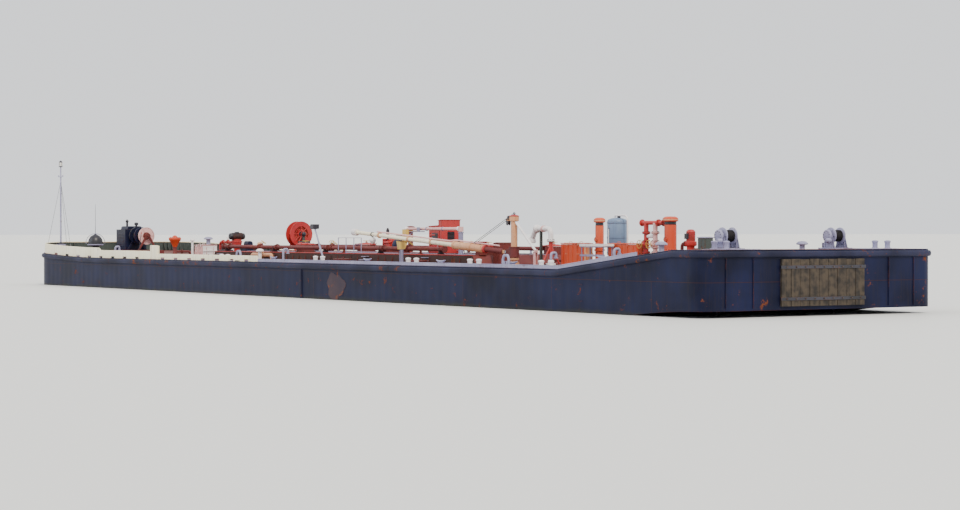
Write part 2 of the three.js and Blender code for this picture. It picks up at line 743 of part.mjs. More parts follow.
// The crutch carries both booms. The long boom's seat is open to port and the short boom's to starboard,
// so that each boom swings off its seat on its own side.
function addCrutch() {
  const { heel, tipX, tipHeight } = BOOM;
  const boomAxis = heel.z + ((heel.x - CRUTCH.x) * (tipHeight - heel.z)) / (heel.x - tipX);
  const seat = boomAxis - BOOM.radius - CRUTCH.seatGap;
  const upper = SHORT_BOOM.height - SHORT_BOOM.radius - CLEAR;
  const shape = join(
    slab(-60, 60, -3220, -3080, 0, seat),
    slab(-160, 160, -3330, -2970, 0, 40),
    slab(-90, 90, -3360, -2860, seat - 50, seat),
    slab(-150, 150, -3020, -2860, seat - 50, upper + 60),
    slab(-90, 90, -2960, -2020, upper - 50, upper),
    slab(-90, 90, -2330, -2270, upper - 50, upper + 150),
  );
  add("boom_crutch", shape, RAIL_GREY, CRUTCH.x, 0, DEPTH + GAP);
}

function addShortBoom() {
  const { x, y, tipX, height, radius } = SHORT_BOOM;
  const deck = DEPTH + GAP;
  const foot = TRUNK.height;
  const post = join(
    bar(100, [0, 0, foot], [0, 0, height - 130], 14),
    bar(190, [0, 0, foot], [0, 0, foot + 40], 14),
    bar(45, [0, 0, height - 140], [0, 0, height + 40], 12),
  );
  add("short_boom_post", post, RAIL_GREY, x, y, deck);

  const reach = tipX - x;
  const spar = cut(
    join(
      bar(radius, [-60, 0, height], [reach + 20, 0, height], 12),
      bar(110, [0, 0, height - 118], [0, 0, height + 90], 16),
      bar(95, [reach, 0, height], [reach + 120, 0, height], 12),
      bar(95, [40, 0, height], [220, 0, height], 12),
    ),
    bar(45 + CLEAR, [0, 0, height - 200], [0, 0, height + 60], 12),
  );
  add("short_boom", spar, WHITE, x, y, deck);
}

// Riser, engine casings, catwalk, vent posts, tank and manifold aft of the trunk

function addRiser() {
  const bend = pipe(105, [[700, 0, 950], [700, 0, 1480], [-400, 0, 1480], [-660, 0, 1000]], 2.6, 10, 3);
  const leg = bar(90, [700, 0, 0], [700, 0, 980], 12);
  const foot = bar(190, [700, 0, 0], [700, 0, 50], 14);
  const collar = bar(170, [700, 0, 900], [700, 0, 970], 14);
  const end = bar(175, [-690, 0, 945], [-662, 0, 1000], 14);
  const prop = slab(-60, 60, -40, 40, 0, 1400);
  const sole = slab(-160, 160, -160, 160, 0, 40);
  add("riser", join(bend, leg, foot, collar, end, prop, sole), WHITE, 12590, 0, DEPTH + GAP);
}

function addCasings() {
  const z = DEPTH + GAP;
  for (const [name, x, size] of CASINGS) addLiddedBox(name, x, z, size, ORANGE);

  const catwalk = join(
    slab(-830, -100, -780, -300, 840, 880),
    slab(240, 830, -780, -300, 840, 880),
    slab(-830, 830, -760, -700, 760, 850),
    slab(-830, 830, -340, -280, 760, 850),
    ...[-750, 690].flatMap((x) => [-760, -340].map((y) => slab(x, x + 60, y, y + 60, 0, 780))),
    slab(-830, 830, -760, -700, 390, 470),
  );
  add("catwalk", catwalk, WHITE, 17200, 0, z);
}

function addVentPosts() {
  for (const [name, x, radius] of [["vent_post_fore", 16650, 170], ["vent_post_aft", 21190, 235]]) {
    const profile = [
      [0, 0],
      [radius, 0],
      [radius, 1700],
      [radius + 60, 1730],
      [radius + 60, 1850],
      [radius - 20, 1900],
      [0, 1920],
    ];
    addOnDeck(name, turned(profile, 0, 0, 16), ORANGE, x, 0, radius + 60);
  }
}

function addDayTank() {
  const legs = [0, 1, 2].map((i) => {
    const a = (i * TURN) / 3 + 0.5;
    return slab(-35, 35, -35, 35, 0, 420).translate(Math.cos(a) * 300, Math.sin(a) * 300, 0);
  });
  const shell = turned([[0, 330], [260, 350], [400, 430], [400, 1800], [280, 1890], [0, 1930]], 0, 0, 20);
  add("day_tank", join(shell, ...legs), TANK_GREY, 15900, 1420, DEPTH + GAP);
}

function addManifold() {
  const headerZ = 1700;
  const drop = [
    [0, 0],
    [200, 0],
    [200, 40],
    [95, 45],
    [95, 700],
    [185, 710],
    [185, 1010],
    [95, 1020],
    [95, headerZ],
    [0, headerZ],
  ];
  const drops = [-310, 260].map((x) => turned(drop, x, 0, 12));
  const parts = join(
    bar(80, [-550, 0, headerZ], [760, 0, headerZ], 12),
    ...drops,
    bar(135, [-590, 0, headerZ], [-535, 0, headerZ], 12),
    bar(135, [430, 0, headerZ], [490, 0, headerZ], 12),
    pipe(55, [[-30, 0, 860], [-30, -900, 860], [-30, -900, 2]], 2.5, 8, 2),
    bar(70, [-310, 0, 860], [260, 0, 860], 10),
  );
  add("manifold", parts, RED, 20000, 0, DEPTH + GAP);
}

function addSternGear() {
  const profile = [
    [0, 0],
    [240, 0],
    [240, 60],
    [150, 70],
    [150, 620],
    [230, 660],
    [230, 800],
    [170, 820],
    [170, 1180],
    [110, 1250],
    [0, 1260],
  ];
  const pump = join(
    turned(profile, 0, 0, 14),
    bar(65, [0, 0, 720], [-420, 0, 720], 10),
    pipe(65, [[-380, 0, 720], [-520, 0, 720], [-520, 0, 40]], 2, 10, 2),
  );
  addOnDeck("stern_pump", pump, RED, 22420, 0, 600);

  const level = slab(-220, 220, -185, 185, 0, 900);
  addOnDeck("tool_locker", join(level, slab(-245, 245, -210, 210, 880, 930)), BLACK, 23290, 0, 240);
}

// A single-drum mooring winch on each side of the after deck, its drum's axis across the barge, on one
// foundation with the quarter bitts.
function addQuarterWinches() {
  const { x, bittsX } = QUARTER_WINCH;
  const z = deckZ(x + 450) + GAP;
  const axisZ = 470;
  for (const [name, hand] of [["winch_port", -1], ["winch_starboard", 1]]) {
    const y = hand * QUARTER_WINCH.y;
    const base = foundation(x - 450, x + 450, y - 420, y + 420, z + 40).translate(-x, -y, -z);
    const cheek = outline([[-330, 30], [330, 30], [150, axisZ + 120], [-150, axisZ + 120]]);
    const cheeks = [-330, 270].map((v) => across(cheek, v, v + 60));
    const gear = bar(230, [0, -430, axisZ], [0, -330, axisZ], 16);
    const journal = bar(52, [0, -500, axisZ], [0, 400, axisZ], 10);
    const bittY = hand * QUARTER_WINCH.bittsY;
    const [y0, y1] = [y, bittY + (hand * BITTS.width) / 2].sort((a, b) => a - b);
    const sheet = across(deckBand(x - 450, bittsX + 700, GAP, GAP + BITTS.plate), y0, y1);
    const bitts = [sheet, ...bittPair(bittsX, bittY)].map((piece) => piece.translate(-x, -y, -z));
    add(`${name}_frame`, cut(join(base, ...cheeks, gear, ...bitts), journal), RAIL_GREY, x, y, z);
    const drum = join(
      bar(40, [0, -400, axisZ], [0, 380, axisZ], 10),
      bar(130, [0, -200, axisZ], [0, 200, axisZ], 14),
      bar(300, [0, -240, axisZ], [0, -200, axisZ], 18),
      bar(300, [0, 200, axisZ], [0, 240, axisZ], 18),
    );
    add(`${name}_drum`, drum, RAIL_GREY, x, y, z);
  }
}

function addLamp() {
  const lamp = join(
    slab(-140, 140, -140, 140, 0, 30),
    bar(42, [60, 0, 20], [-420, -200, 1500], 10),
    slab(-600, -300, -350, -50, 1470, 1690),
  );
  add("deck_lamp", lamp, BLACK, 1730, -4150, DEPTH + GAP);
}

addHull();
addDeckEdge();
addTrunk();
addBowGear();
addLiddedBox(
  "deck_locker",
  LOCKER.x,
  deckZ(LOCKER.x - LOCKER.size.length / 2) + GAP,
  LOCKER.size,
  WHITE,
);
addFrontPump();
addReel();
addMidPump();
addPowerHouse();
addDerrick();
addCrutch();
addShortBoom();
addRiser();
addCasings();
addVentPosts();
addDayTank();
addManifold();
addSternGear();
addQuarterWinches();
addLamp();

barge.scale.setScalar(MODEL_SCALE);

export default barge;
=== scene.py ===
import logging
import math
from collections.abc import Callable, Iterable, Sequence
from dataclasses import dataclass
from enum import Enum

import bmesh
import bpy
from mathutils import Matrix, Vector


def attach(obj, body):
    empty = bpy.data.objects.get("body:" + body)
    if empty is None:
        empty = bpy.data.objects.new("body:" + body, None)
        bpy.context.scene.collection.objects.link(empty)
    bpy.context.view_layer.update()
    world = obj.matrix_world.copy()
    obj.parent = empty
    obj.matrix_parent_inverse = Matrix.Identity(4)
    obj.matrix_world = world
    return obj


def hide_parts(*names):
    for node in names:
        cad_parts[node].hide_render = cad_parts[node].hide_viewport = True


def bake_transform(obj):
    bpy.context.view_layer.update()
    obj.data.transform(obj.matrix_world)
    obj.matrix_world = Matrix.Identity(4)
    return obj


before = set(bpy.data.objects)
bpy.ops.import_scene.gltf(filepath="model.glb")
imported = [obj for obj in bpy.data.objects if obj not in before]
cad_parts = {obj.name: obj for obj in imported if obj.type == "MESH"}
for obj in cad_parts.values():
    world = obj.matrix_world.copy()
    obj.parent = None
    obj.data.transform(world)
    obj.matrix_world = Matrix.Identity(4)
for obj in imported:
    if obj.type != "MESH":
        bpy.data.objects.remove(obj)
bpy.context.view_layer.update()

LOG = logging.getLogger("river_tank_barge")

# Every size below is the real barge's, in millimetres. The model is half that size.
MM = 0.0005
HALF = 29700.0
SIDE = 5350.0
DEPTH = 3350.0
GAP = 0.8
BOW_CORNER = 2600.0
STERN_CORNER = 550.0
BILGE = 450.0
HEAD_LOG = 2250.0
BOW_RAKE = 10500.0
TRANSOM_FOOT = 2030.0
STERN_RAKE = 12500.0
WATERLINE = 1800.0
# edges that turn more than this are chamfered and stay sharp
SHARP = math.radians(33)
DECK = DEPTH + GAP
TRUNK_TOP = DEPTH + 400.0 + GAP
ROOT = "barge_hull"
# station along the barge, rise of the deck edge
SHEER = (
    (-HALF, 300.0),
    (-27200.0, 170.0),
    (-24700.0, 75.0),
    (-22200.0, 18.0),
    (-19700.0, 0.0),
    (21300.0, 0.0),
    (28100.0, 750.0),
    (HALF, 750.0),
)

Triple = Sequence[float]
AFT = (1, 0, 0)
ACROSS = (0, 1, 0)
UP = (0, 0, 1)
Socket = bpy.types.NodeSocket


def deck_z(x: float) -> float:
    """Gives the height of the deck edge at a station, over the flat bottom."""
    held = min(max(x, -HALF), HALF)
    x0, rise0, x1, rise1 = next((*a, *b) for a, b in zip(SHEER, SHEER[1:]) if held <= b[0])
    return DEPTH + rise0 + (rise1 - rise0) * (held - x0) / (x1 - x0)


def bottom_z(x: float) -> float:
    """Gives the height of the bottom plating at a station.

    Args:
        x: Station along the barge.

    Returns:
        Height over the flat bottom.
    """
    if x < -HALF + BOW_RAKE:
        start, middle, end = -HALF, -HALF + 0.45 * BOW_RAKE, -HALF + BOW_RAKE
        low, mid, high = HEAD_LOG, 0.0, 0.0
    elif x > HALF - STERN_RAKE:
        start, middle, end = HALF - STERN_RAKE, HALF - 0.45 * STERN_RAKE, HALF
        low, mid, high = 0.0, TRANSOM_FOOT, TRANSOM_FOOT
    else:
        return 0.0
    bend, slope = start - 2 * middle + end, 2 * (middle - start)
    share = (-slope + math.sqrt(max(slope * slope - 4 * bend * (start - x), 0.0))) / (2 * bend)
    return low * (1 - share) ** 2 + 2 * mid * share * (1 - share) + high * share * share


def half_breadth(x: float) -> float:
    """Gives half the hull's width at a station.

    Args:
        x: Station along the barge.

    Returns:
        Distance from the centreline to the side.
    """
    corner = BOW_CORNER if x < 0 else STERN_CORNER
    inside = max(corner - (HALF - abs(x)), 0.0)
    return SIDE - corner + math.sqrt(max(corner**2 - inside**2, 0.0))


def plan_path(inset: float, knots: Iterable[float] = ()) -> list[tuple[float, float, float, float]]:
    """Follows the hull's edge seen from above: port quarter, bow, starboard quarter, stern.

    Args:
        inset: Distance inside the hull's side; below zero it is outside.
        knots: Stations that get a point of their own on both sides.

    Returns:
        Points x, y, each with its outward direction.
    """
    aft, fore = HALF - STERN_CORNER, -HALF + BOW_CORNER
    along = {aft + (fore - aft) * i / 40 for i in range(41)} | {x for x, _ in SHEER} | set(knots)
    side = sorted((x for x in along if fore <= x <= aft), reverse=True)
    path = [(x, -SIDE + inset, 0.0, -1.0) for x in side]
    for corner, x, hand, first, steps in (
        (BOW_CORNER, fore, -1, -90, range(1, 17)),
        (BOW_CORNER, fore, 1, -180, range(16)),
        (STERN_CORNER, aft, 1, 90, range(1, 17)),
        (STERN_CORNER, aft, -1, 0, range(16)),
    ):
        if first == 90:
            path += [(x, SIDE - inset, 0.0, 1.0) for x in reversed(side)]
        for i in steps:
            angle = math.radians(first - 90 * i / 16)
            nx, ny = math.cos(angle), math.sin(angle)
            path.append((x + nx * (corner - inset), hand * (SIDE - corner) + ny * (corner - inset), nx, ny))
    return path


def with_sheer(first: float, last: float) -> list[float]:
    """Gives two stations and every station between them at which the deck's slope changes."""
    return [first, *(x for x, _ in SHEER if first < x < last), last]


def linear(colour: str) -> tuple[float, float, float, float]:
    """Turns an sRGB hex colour to the linear values that a shader takes.

    Args:
        colour: Six hex digits.

    Returns:
        Red, green, blue and an alpha of 1.
    """
    shares = [int(colour[i : i + 2], 16) / 255 for i in (0, 2, 4)]
    red, green, blue = (v / 12.92 if v <= 0.04045 else ((v + 0.055) / 1.055) ** 2.4 for v in shares)
    return red, green, blue, 1.0


def add_node(
    tree: bpy.types.NodeTree,
    kind: str,
    inputs: dict[str | int, object] | None = None,
    out: str | int = 0,
    **settings: object,
) -> Socket | None:
    """Adds one node with its settings and links.

    Args:
        tree: The tree that the node goes in.
        kind: Blender's name for the node's class.
        inputs: A value, another node's output, or a list of outputs, for each input by name or number.
        out: Which of its outputs is wanted.
        **settings: The node's own properties.

    Returns:
        The output, if the node has any.
    """
    made = tree.nodes.new(kind)
    for name, value in settings.items():
        setattr(made, name, value)
    for name, value in (inputs or {}).items():
        for source in value if isinstance(value, list) else [value]:
            if isinstance(source, Socket):
                tree.links.new(source, made.inputs[name])
            else:
                made.inputs[name].default_value = source
    return made.outputs[out] if made.outputs else None


# Finishes


@dataclass(frozen=True)
class Finish:
    """A surface of two tones: one node tree gives its colour, shine and relief. Lengths are real ones."""

    colour: str
    second: str
    roughness: float = 0.45
    rougher: float = 0.92
    metallic: float = 0.0
    strength: float = 0.35
    relief: float = 3.0
    gloss: float = 0.5

    def lay(self, tree: bpy.types.NodeTree, place: Socket) -> tuple[Socket, Socket, Socket]:
        """Lays the surface's pattern.

        Args:
            tree: The material's node tree.
            place: Object coordinates, in metres.

        Returns:
            The colour, the share that is rough, and the height.
        """
        raise NotImplementedError

    def build(self, name: str) -> bpy.types.Material:
        """Makes the material.

        Args:
            name: The material's name.

        Returns:
            The finished material.
        """
        material = bpy.data.materials.new(name)
        material.use_nodes = True
        tree = material.node_tree
        surface = tree.nodes["Principled BSDF"]
        surface.inputs["Metallic"].default_value = self.metallic
        surface.inputs["Specular IOR Level"].default_value = self.gloss
        colour, worn, height = self.lay(tree, add_node(tree, "ShaderNodeTexCoord", out="Object"))
        shine = {"Value": worn, "To Min": self.roughness, "To Max": self.rougher}
        relief = {"Height": height, "Strength": self.strength, "Distance": self.relief * MM}
        tree.links.new(colour, surface.inputs["Base Color"])
        tree.links.new(add_node(tree, "ShaderNodeMapRange", shine), surface.inputs["Roughness"])
        tree.links.new(add_node(tree, "ShaderNodeBump", relief), surface.inputs["Normal"])
        return material


@dataclass(frozen=True)
class PaintedSteel(Finish):
    """Alkyd marine enamel brushed on mild steel: a soft shine, chalky where the sun has faded it, chipped to
    orange-brown rust at the arrises, with rusty water stains that run down from the joints."""

    rust: float = 0.35
    grime: float = 0.35
    rust_dark: str = "3b1d14"
    rust_light: str = "84482a"
    grime_colour: str = "2a2220"

    def paint(self, tree: bpy.types.NodeTree, place: Socket) -> tuple[Socket, Socket]:
        """Lays the paint's own colour, before rust and grime.

        Args:
            tree: The material's node tree.
            place: Object coordinates.

        Returns:
            The colour, and the height of the paint film.
        """
        sun = add_node(tree, "ShaderNodeTexNoise", {"Vector": place, "Scale": 1.1, "Detail": 4.0}, "Fac")
        patch = add_node(tree, "ShaderNodeMapRange", {"Value": sun, "From Min": 0.36, "From Max": 0.68})
        tones = {0: patch, 6: linear(self.colour), 7: linear(self.second)}
        # brush marks about 6 mm apart, drawn 40 mm apart so that they show
        film = add_node(tree, "ShaderNodeTexNoise", {"Vector": place, "Scale": 50.0, "Detail": 3.0}, "Fac")
        return add_node(tree, "ShaderNodeMix", tones, 2, data_type="RGBA"), film

    def lay(self, tree: bpy.types.NodeTree, place: Socket) -> tuple[Socket, Socket, Socket]:
        """Lays the paint, then the runs of dirty water, then rust in blooms and along worn arrises.

        Args:
            tree: The material's node tree.
            place: Object coordinates.

        Returns:
            The colour, the share that is rusty, and the height.
        """
        colour, film = self.paint(tree, place)
        drawn_out = add_node(tree, "ShaderNodeMapping", {"Vector": place, "Scale": (30.0, 30.0, 1.6)})
        # runs 70 mm wide and a metre long, blooms of 0.3 to 1 m, and 40 mm flakes that break these up
        runs, bloom, flakes = (
            add_node(tree, "ShaderNodeTexNoise",
                     {"Vector": at, "Scale": scale, "Detail": detail, "Roughness": rough}, "Fac")
            for at, scale, detail, rough in (
                (drawn_out, 1.0, 5.0, 0.6), (place, 3.4, 8.0, 0.68), (place, 46.0, 4.0, 0.7),
            )
        )
        wet = {"Value": runs, "From Min": 0.5, "From Max": 0.78, "To Max": self.grime}
        soiled = {0: add_node(tree, "ShaderNodeMapRange", wet), 6: colour, 7: linear(self.grime_colour)}
        rounded = add_node(tree, "ShaderNodeBevel", {"Radius": 14.0 * MM}, samples=3)
        flat = add_node(tree, "ShaderNodeNewGeometry", out="Normal")
        facing = add_node(tree, "ShaderNodeVectorMath", {0: rounded, 1: flat}, "Value",
                          operation="DOT_PRODUCT")
        arris = add_node(
            tree, "ShaderNodeMapRange", {"Value": facing, "From Min": 0.985, "From Max": 0.88, "To Max": 0.16}
        )
        share = add_node(tree, "ShaderNodeMath", {0: bloom, 1: arris}, operation="ADD")
        broken = add_node(tree, "ShaderNodeMath", {0: flakes, 1: 0.22, 2: share}, operation="MULTIPLY_ADD")
        edge = 0.83 - 0.22 * self.rust
        rusty = add_node(
            tree, "ShaderNodeMapRange", {"Value": broken, "From Min": edge, "From Max": edge + 0.05}
        )
        scale = {0: flakes, 6: linear(self.rust_dark), 7: linear(self.rust_light)}
        under = add_node(tree, "ShaderNodeMix", soiled, 2, data_type="RGBA")
        over = add_node(tree, "ShaderNodeMix", scale, 2, data_type="RGBA")
        mixed = add_node(tree, "ShaderNodeMix", {0: rusty, 6: under, 7: over}, 2, data_type="RGBA")
        return mixed, rusty, add_node(tree, "ShaderNodeMath", {0: rusty, 1: -0.6, 2: film},
                                      operation="MULTIPLY_ADD")


@dataclass(frozen=True)
class PlatedPaint(PaintedSteel):
    """Enamel over lapped and welded plates: the butts and seams stand up as thin lines, each plate has taken
    the sun a little differently, and a band along the water is scummed."""

    plate: tuple[float, float] = (6000.0, 1500.0)
    upright: bool = True
    scum: str = ""

    def paint(self, tree: bpy.types.NodeTree, place: Socket) -> tuple[Socket, Socket]:
        """Lays the paint's own colour with the plates' seams in it.

        Args:
            tree: The material's node tree.
            place: Object coordinates.

        Returns:
            The colour, and the height of the paint film and seams.
        """
        colour, film = super().paint(tree, place)
        # the brick pattern lies in the plane of its first two axes, so a side's plates are turned up to it
        turn = (math.pi / 2 if self.upright else 0.0, 0.0, 0.0)
        bricks = {
            "Vector": add_node(tree, "ShaderNodeMapping", {"Vector": place, "Rotation": turn}),
            "Color1": (0.0, 0.0, 0.0, 1.0),
            "Color2": (1.0, 1.0, 1.0, 1.0),
            "Mortar": (0.5, 0.5, 0.5, 1.0),
            "Scale": 1.0,
            "Mortar Size": 9.0 * MM,
            "Mortar Smooth": 0.6,
            "Brick Width": self.plate[0] * MM,
            "Row Height": self.plate[1] * MM,
        }
        plates = add_node(tree, "ShaderNodeTexBrick", bricks, offset=0.5)
        seams = plates.node.outputs["Fac"]
        share = add_node(tree, "ShaderNodeMapRange", {"Value": plates, "To Max": 0.3})
        toned = add_node(tree, "ShaderNodeMix", {0: share, 6: colour, 7: linear(self.second)}, 2,
                         data_type="RGBA")
        colour = add_node(
            tree, "ShaderNodeMix", {0: seams, 6: toned, 7: linear(self.rust_dark)}, 2, data_type="RGBA"
        )
        height = add_node(tree, "ShaderNodeMath", {0: seams, 1: 2.0, 2: film}, operation="MULTIPLY_ADD")
        if self.scum:
            # the wash leaves a pale line up to 0.3 m over the water
            level = add_node(tree, "ShaderNodeSeparateXYZ", {"Vector": place}, "Z")
            ragged = add_node(tree, "ShaderNodeTexNoise", {"Vector": place, "Scale": 2.6, "Detail": 5.0},
                              "Fac")
            reach = add_node(tree, "ShaderNodeMath", {0: ragged, 1: 0.16, 2: level}, operation="MULTIPLY_ADD")
            top = WATERLINE * MM + 0.16
            wash = add_node(tree, "ShaderNodeMapRange",
                            {"Value": reach, "From Min": top, "From Max": top - 0.09})
            colour = add_node(tree, "ShaderNodeMix", {0: wash, 6: colour, 7: linear(self.scum)}, 2,
                              data_type="RGBA")
        return colour, height


class Marks(Enum):
    """The pattern that a bare surface's making or wear has left on it."""

    SPANGLE = "zinc crystals and dull patches"
    GRAIN = "cracks along the grain"
    WRAP = "bands of wrapping"
    FLUTES = "pressed upright flutes"


@dataclass(frozen=True)
class BareSurface(Finish):
    """A surface without paint, of one material: its second tone lies in the pattern that its making left."""

    marks: Marks = Marks.SPANGLE
    spacing: float = 65.0
    low: float = 0.45
    high: float = 0.95

    def lay(self, tree: bpy.types.NodeTree, place: Socket) -> tuple[Socket, Socket, Socket]:
        """Lays the pattern over a cloudy base.

        Args:
            tree: The material's node tree.
            place: Object coordinates.

        Returns:
            The colour, the share of the second tone, and the height.
        """
        cloud = add_node(tree, "ShaderNodeTexNoise", {"Vector": place, "Scale": 8.0, "Detail": 6.0}, "Fac")
        scale = 1.0 / (self.spacing * MM)
        if self.marks is Marks.SPANGLE:
            mark = add_node(tree, "ShaderNodeTexVoronoi", {"Vector": place, "Scale": scale}, "Distance")
        elif self.marks is Marks.GRAIN:
            # drawn out thirty times along the upright baulks
            drawn_out = add_node(
                tree, "ShaderNodeMapping", {"Vector": place, "Scale": (scale, scale, scale / 30.0)}
            )
            mark = add_node(tree, "ShaderNodeTexNoise", {"Vector": drawn_out, "Scale": 1.0, "Detail": 7.0},
                            "Fac")
        else:
            # a wave's bands are 0.314 m apart at scale 1
            way = "X" if self.marks is Marks.FLUTES else "DIAGONAL"
            mark = add_node(
                tree, "ShaderNodeTexWave", {"Vector": place, "Scale": 0.314 * scale}, "Fac",
                bands_direction=way
            )
        tone = add_node(tree, "ShaderNodeMath", {0: mark, 1: 0.5, 2: cloud}, operation="MULTIPLY_ADD")
        share = add_node(tree, "ShaderNodeMapRange",
                         {"Value": tone, "From Min": self.low, "From Max": self.high})
        mixed = {0: share, 6: linear(self.colour), 7: linear(self.second)}
        return add_node(tree, "ShaderNodeMix", mixed, 2, data_type="RGBA"), share, tone


class Coat(Enum):
    """The finishes on board, each with the record's material slot that it answers to."""

    HULL = ("hull_enamel_on_plate", "hull_paint")
    DECK = ("deck_oxide_on_plate", "red_oxide")
    BAND = ("rubbing_band_enamel", "grey_paint")
    GREY = ("lavender_grey_enamel", "grey_paint")
    CREAM = ("cream_enamel", "cream_paint")
    WHITE = ("white_enamel", "white_paint")
    OXIDE = ("red_oxide_primer", "red_oxide")
    RED = ("signal_red_enamel", "red_paint")
    PINK = ("faded_rose_enamel", "white_paint")
    ORANGE = ("orange_enamel", "orange_paint")
    TAN = ("buff_enamel", "tan_paint")
    YELLOW = ("ochre_enamel", "tan_paint")
    BLACK = ("black_enamel", "black_paint")
    ENGINE = ("engine_blue_enamel", "engine_blue")
    DRAB = ("drab_green_enamel", "black_paint")
    TANK = ("tank_grey_enamel", "tank_grey")
    SCALE = ("rusted_plate", "red_oxide")
    TIMBER = ("sawn_oak", "timber")
    ZINC = ("galvanised_steel", "grey_paint")
    WIRE = ("greased_wire_rope", "grey_paint")
    BOLTS = ("weathered_bolt_steel", "grey_paint")
    HOSE = ("red_wrapped_hose", "red_paint")
    LENS = ("fluted_lamp_glass", "white_paint")

    @property
    def slot(self) -> str:
        """Gives the record's material slot."""
        return self.value[1]


FINISHES: dict[Coat, Finish] = {
    # gloss enamel on the side plating, navy; its lighter blue patches are partly sun fading and partly a
    # painted blue sheen of reflected water
    Coat.HULL: PlatedPaint("0b0e24", "171c3c", 0.5, gloss=0.14, rust=0.42, grime=0.5, scum="2a2c28"),
    # anti-slip deck paint over oxide, trodden through to rust
    Coat.DECK: PlatedPaint("5a2f2c", "744640", 0.7, rust=0.75, grime=0.5, plate=(3000.0, 1500.0),
                           upright=False),
    # the band takes the knocks: dull navy with rust in the scars; its lighter grey patches are partly chafed
    # paint and partly a painted highlight
    Coat.BAND: PaintedSteel("12142a", "2a2c46", 0.6, gloss=0.2, rust=0.55, grime=0.5),
    Coat.GREY: PaintedSteel("8583a2", "a19fb8", 0.55, rust=0.4),
    Coat.CREAM: PaintedSteel("f3e9c6", "faf4da", rust=0.3, grime=0.4, grime_colour="6d5a48"),
    Coat.WHITE: PaintedSteel("e6e1e0", "f3efee", rust=0.28, grime_colour="7b6a60"),
    # chalky primer with no top coat
    Coat.OXIDE: PlatedPaint("5e1c20", "743029", 0.66, rust=0.5, grime=0.4, plate=(3000.0, 1400.0),
                            upright=False),
    Coat.RED: PaintedSteel("a81f22", "bf3a34"),
    Coat.PINK: PaintedSteel("d9a6a4", "e6bcb6", grime_colour="6b3c38"),
    Coat.ORANGE: PaintedSteel("c8421d", "d8623a"),
    Coat.TAN: PaintedSteel("c98d62", "ddb088"),
    Coat.YELLOW: PaintedSteel("c9a23c", "d8b968", grime=0.3),
    Coat.BLACK: PaintedSteel("1a1920", "33313c", 0.4, rust=0.4, grime=0.3),
    Coat.ENGINE: PaintedSteel("0f1328", "1c2240", 0.42, gloss=0.25, rust=0.32, grime=0.4),
    Coat.DRAB: PaintedSteel("333d3a", "4a544f", 0.55, rust=0.4),
    Coat.TANK: PaintedSteel("5d7290", "7389a6"),
    # plate that has lost its paint: brown scale, with a little blue left
    Coat.SCALE: PaintedSteel("2a2030", "4a3436", 0.8, rust=0.6, grime=0.6),
    # sawn and weathered oak, grey-brown, with drying cracks
    Coat.TIMBER: BareSurface(
        "201a15", "443a2f", 0.8, 0.9, strength=0.6, relief=8.0, marks=Marks.GRAIN, spacing=80.0, low=0.6,
        high=0.85
    ),
    # hot-dip zinc: dull spangle; drawn wire under grease; bolt heads with brown bloom
    Coat.ZINC: BareSurface("9a9fa6", "6f7276", 0.42, 0.75, 0.75),
    Coat.WIRE: BareSurface("2e2b2c", "171518", 0.5, 0.8, 0.6, spacing=22.0),
    Coat.BOLTS: BareSurface("6d625c", "4a2f24", 0.5, 0.85, 0.6, spacing=33.0),
    # cloth-wrapped rubber hose, matt and dusty, and pressed glass over a lamp, its flutes 40 mm apart
    Coat.HOSE: BareSurface("a82a26", "c65a49", 0.7, 0.85, marks=Marks.WRAP, spacing=60.0),
    Coat.LENS: BareSurface("d8d0c0", "eef0ee", 0.08, 0.2, marks=Marks.FLUTES, spacing=40.0),
}


class Paintshop:
    """Makes each finish once, the first time that a piece asks for it."""

    made: dict[Coat, bpy.types.Material] = {}

    @classmethod
    def mix(cls, coat: Coat) -> bpy.types.Material:
        """Gives a coat's material, making it if it is new."""
        if coat not in cls.made:
            cls.made[coat] = FINISHES[coat].build(coat.value[0])
        return cls.made[coat]


# Shapes


def circle(centre: Vector, axis: Vector, radius: float, sides: int,
           first: Vector | None = None) -> list[Vector]:
    """Places points evenly round an axis.

    Args:
        centre: Middle of the circle.
        axis: Direction that the circle is square to.
        radius: Its radius.
        sides: How many points.
        first: Direction of the first point, if it matters.

    Returns:
        The points.
    """
    n = axis.normalized()
    guide = first or (Vector(UP) if abs(n.z) < 0.9 else Vector(AFT))
    u = (guide - n * guide.dot(n)).normalized()
    v = n.cross(u)
    turns = (math.tau * i / sides for i in range(sides))
    return [centre + (u * math.cos(t) + v * math.sin(t)) * radius for t in turns]


def rounded_path(corners: Sequence[Triple], bend: float, steps: int = 6) -> list[Vector]:
    """Rounds the corners of a line, as a pipe's elbows do.

    Args:
        corners: The line's corners.
        bend: Distance from each corner at which its bend begins.
        steps: Points in each bend.

    Returns:
        Points along the rounded line.
    """
    points = [Vector(c) for c in corners]
    path = [points[0]]
    for before, here, after in zip(points, points[1:], points[2:]):
        reach = min(bend, (before - here).length * 0.49, (after - here).length * 0.49)
        start = here + (before - here).normalized() * reach
        end = here + (after - here).normalized() * reach
        shares = (i / steps for i in range(steps + 1))
        path += [start * (1 - t) ** 2 + here * 2 * t * (1 - t) + end * t * t for t in shares]
    return [*path, points[-1]]


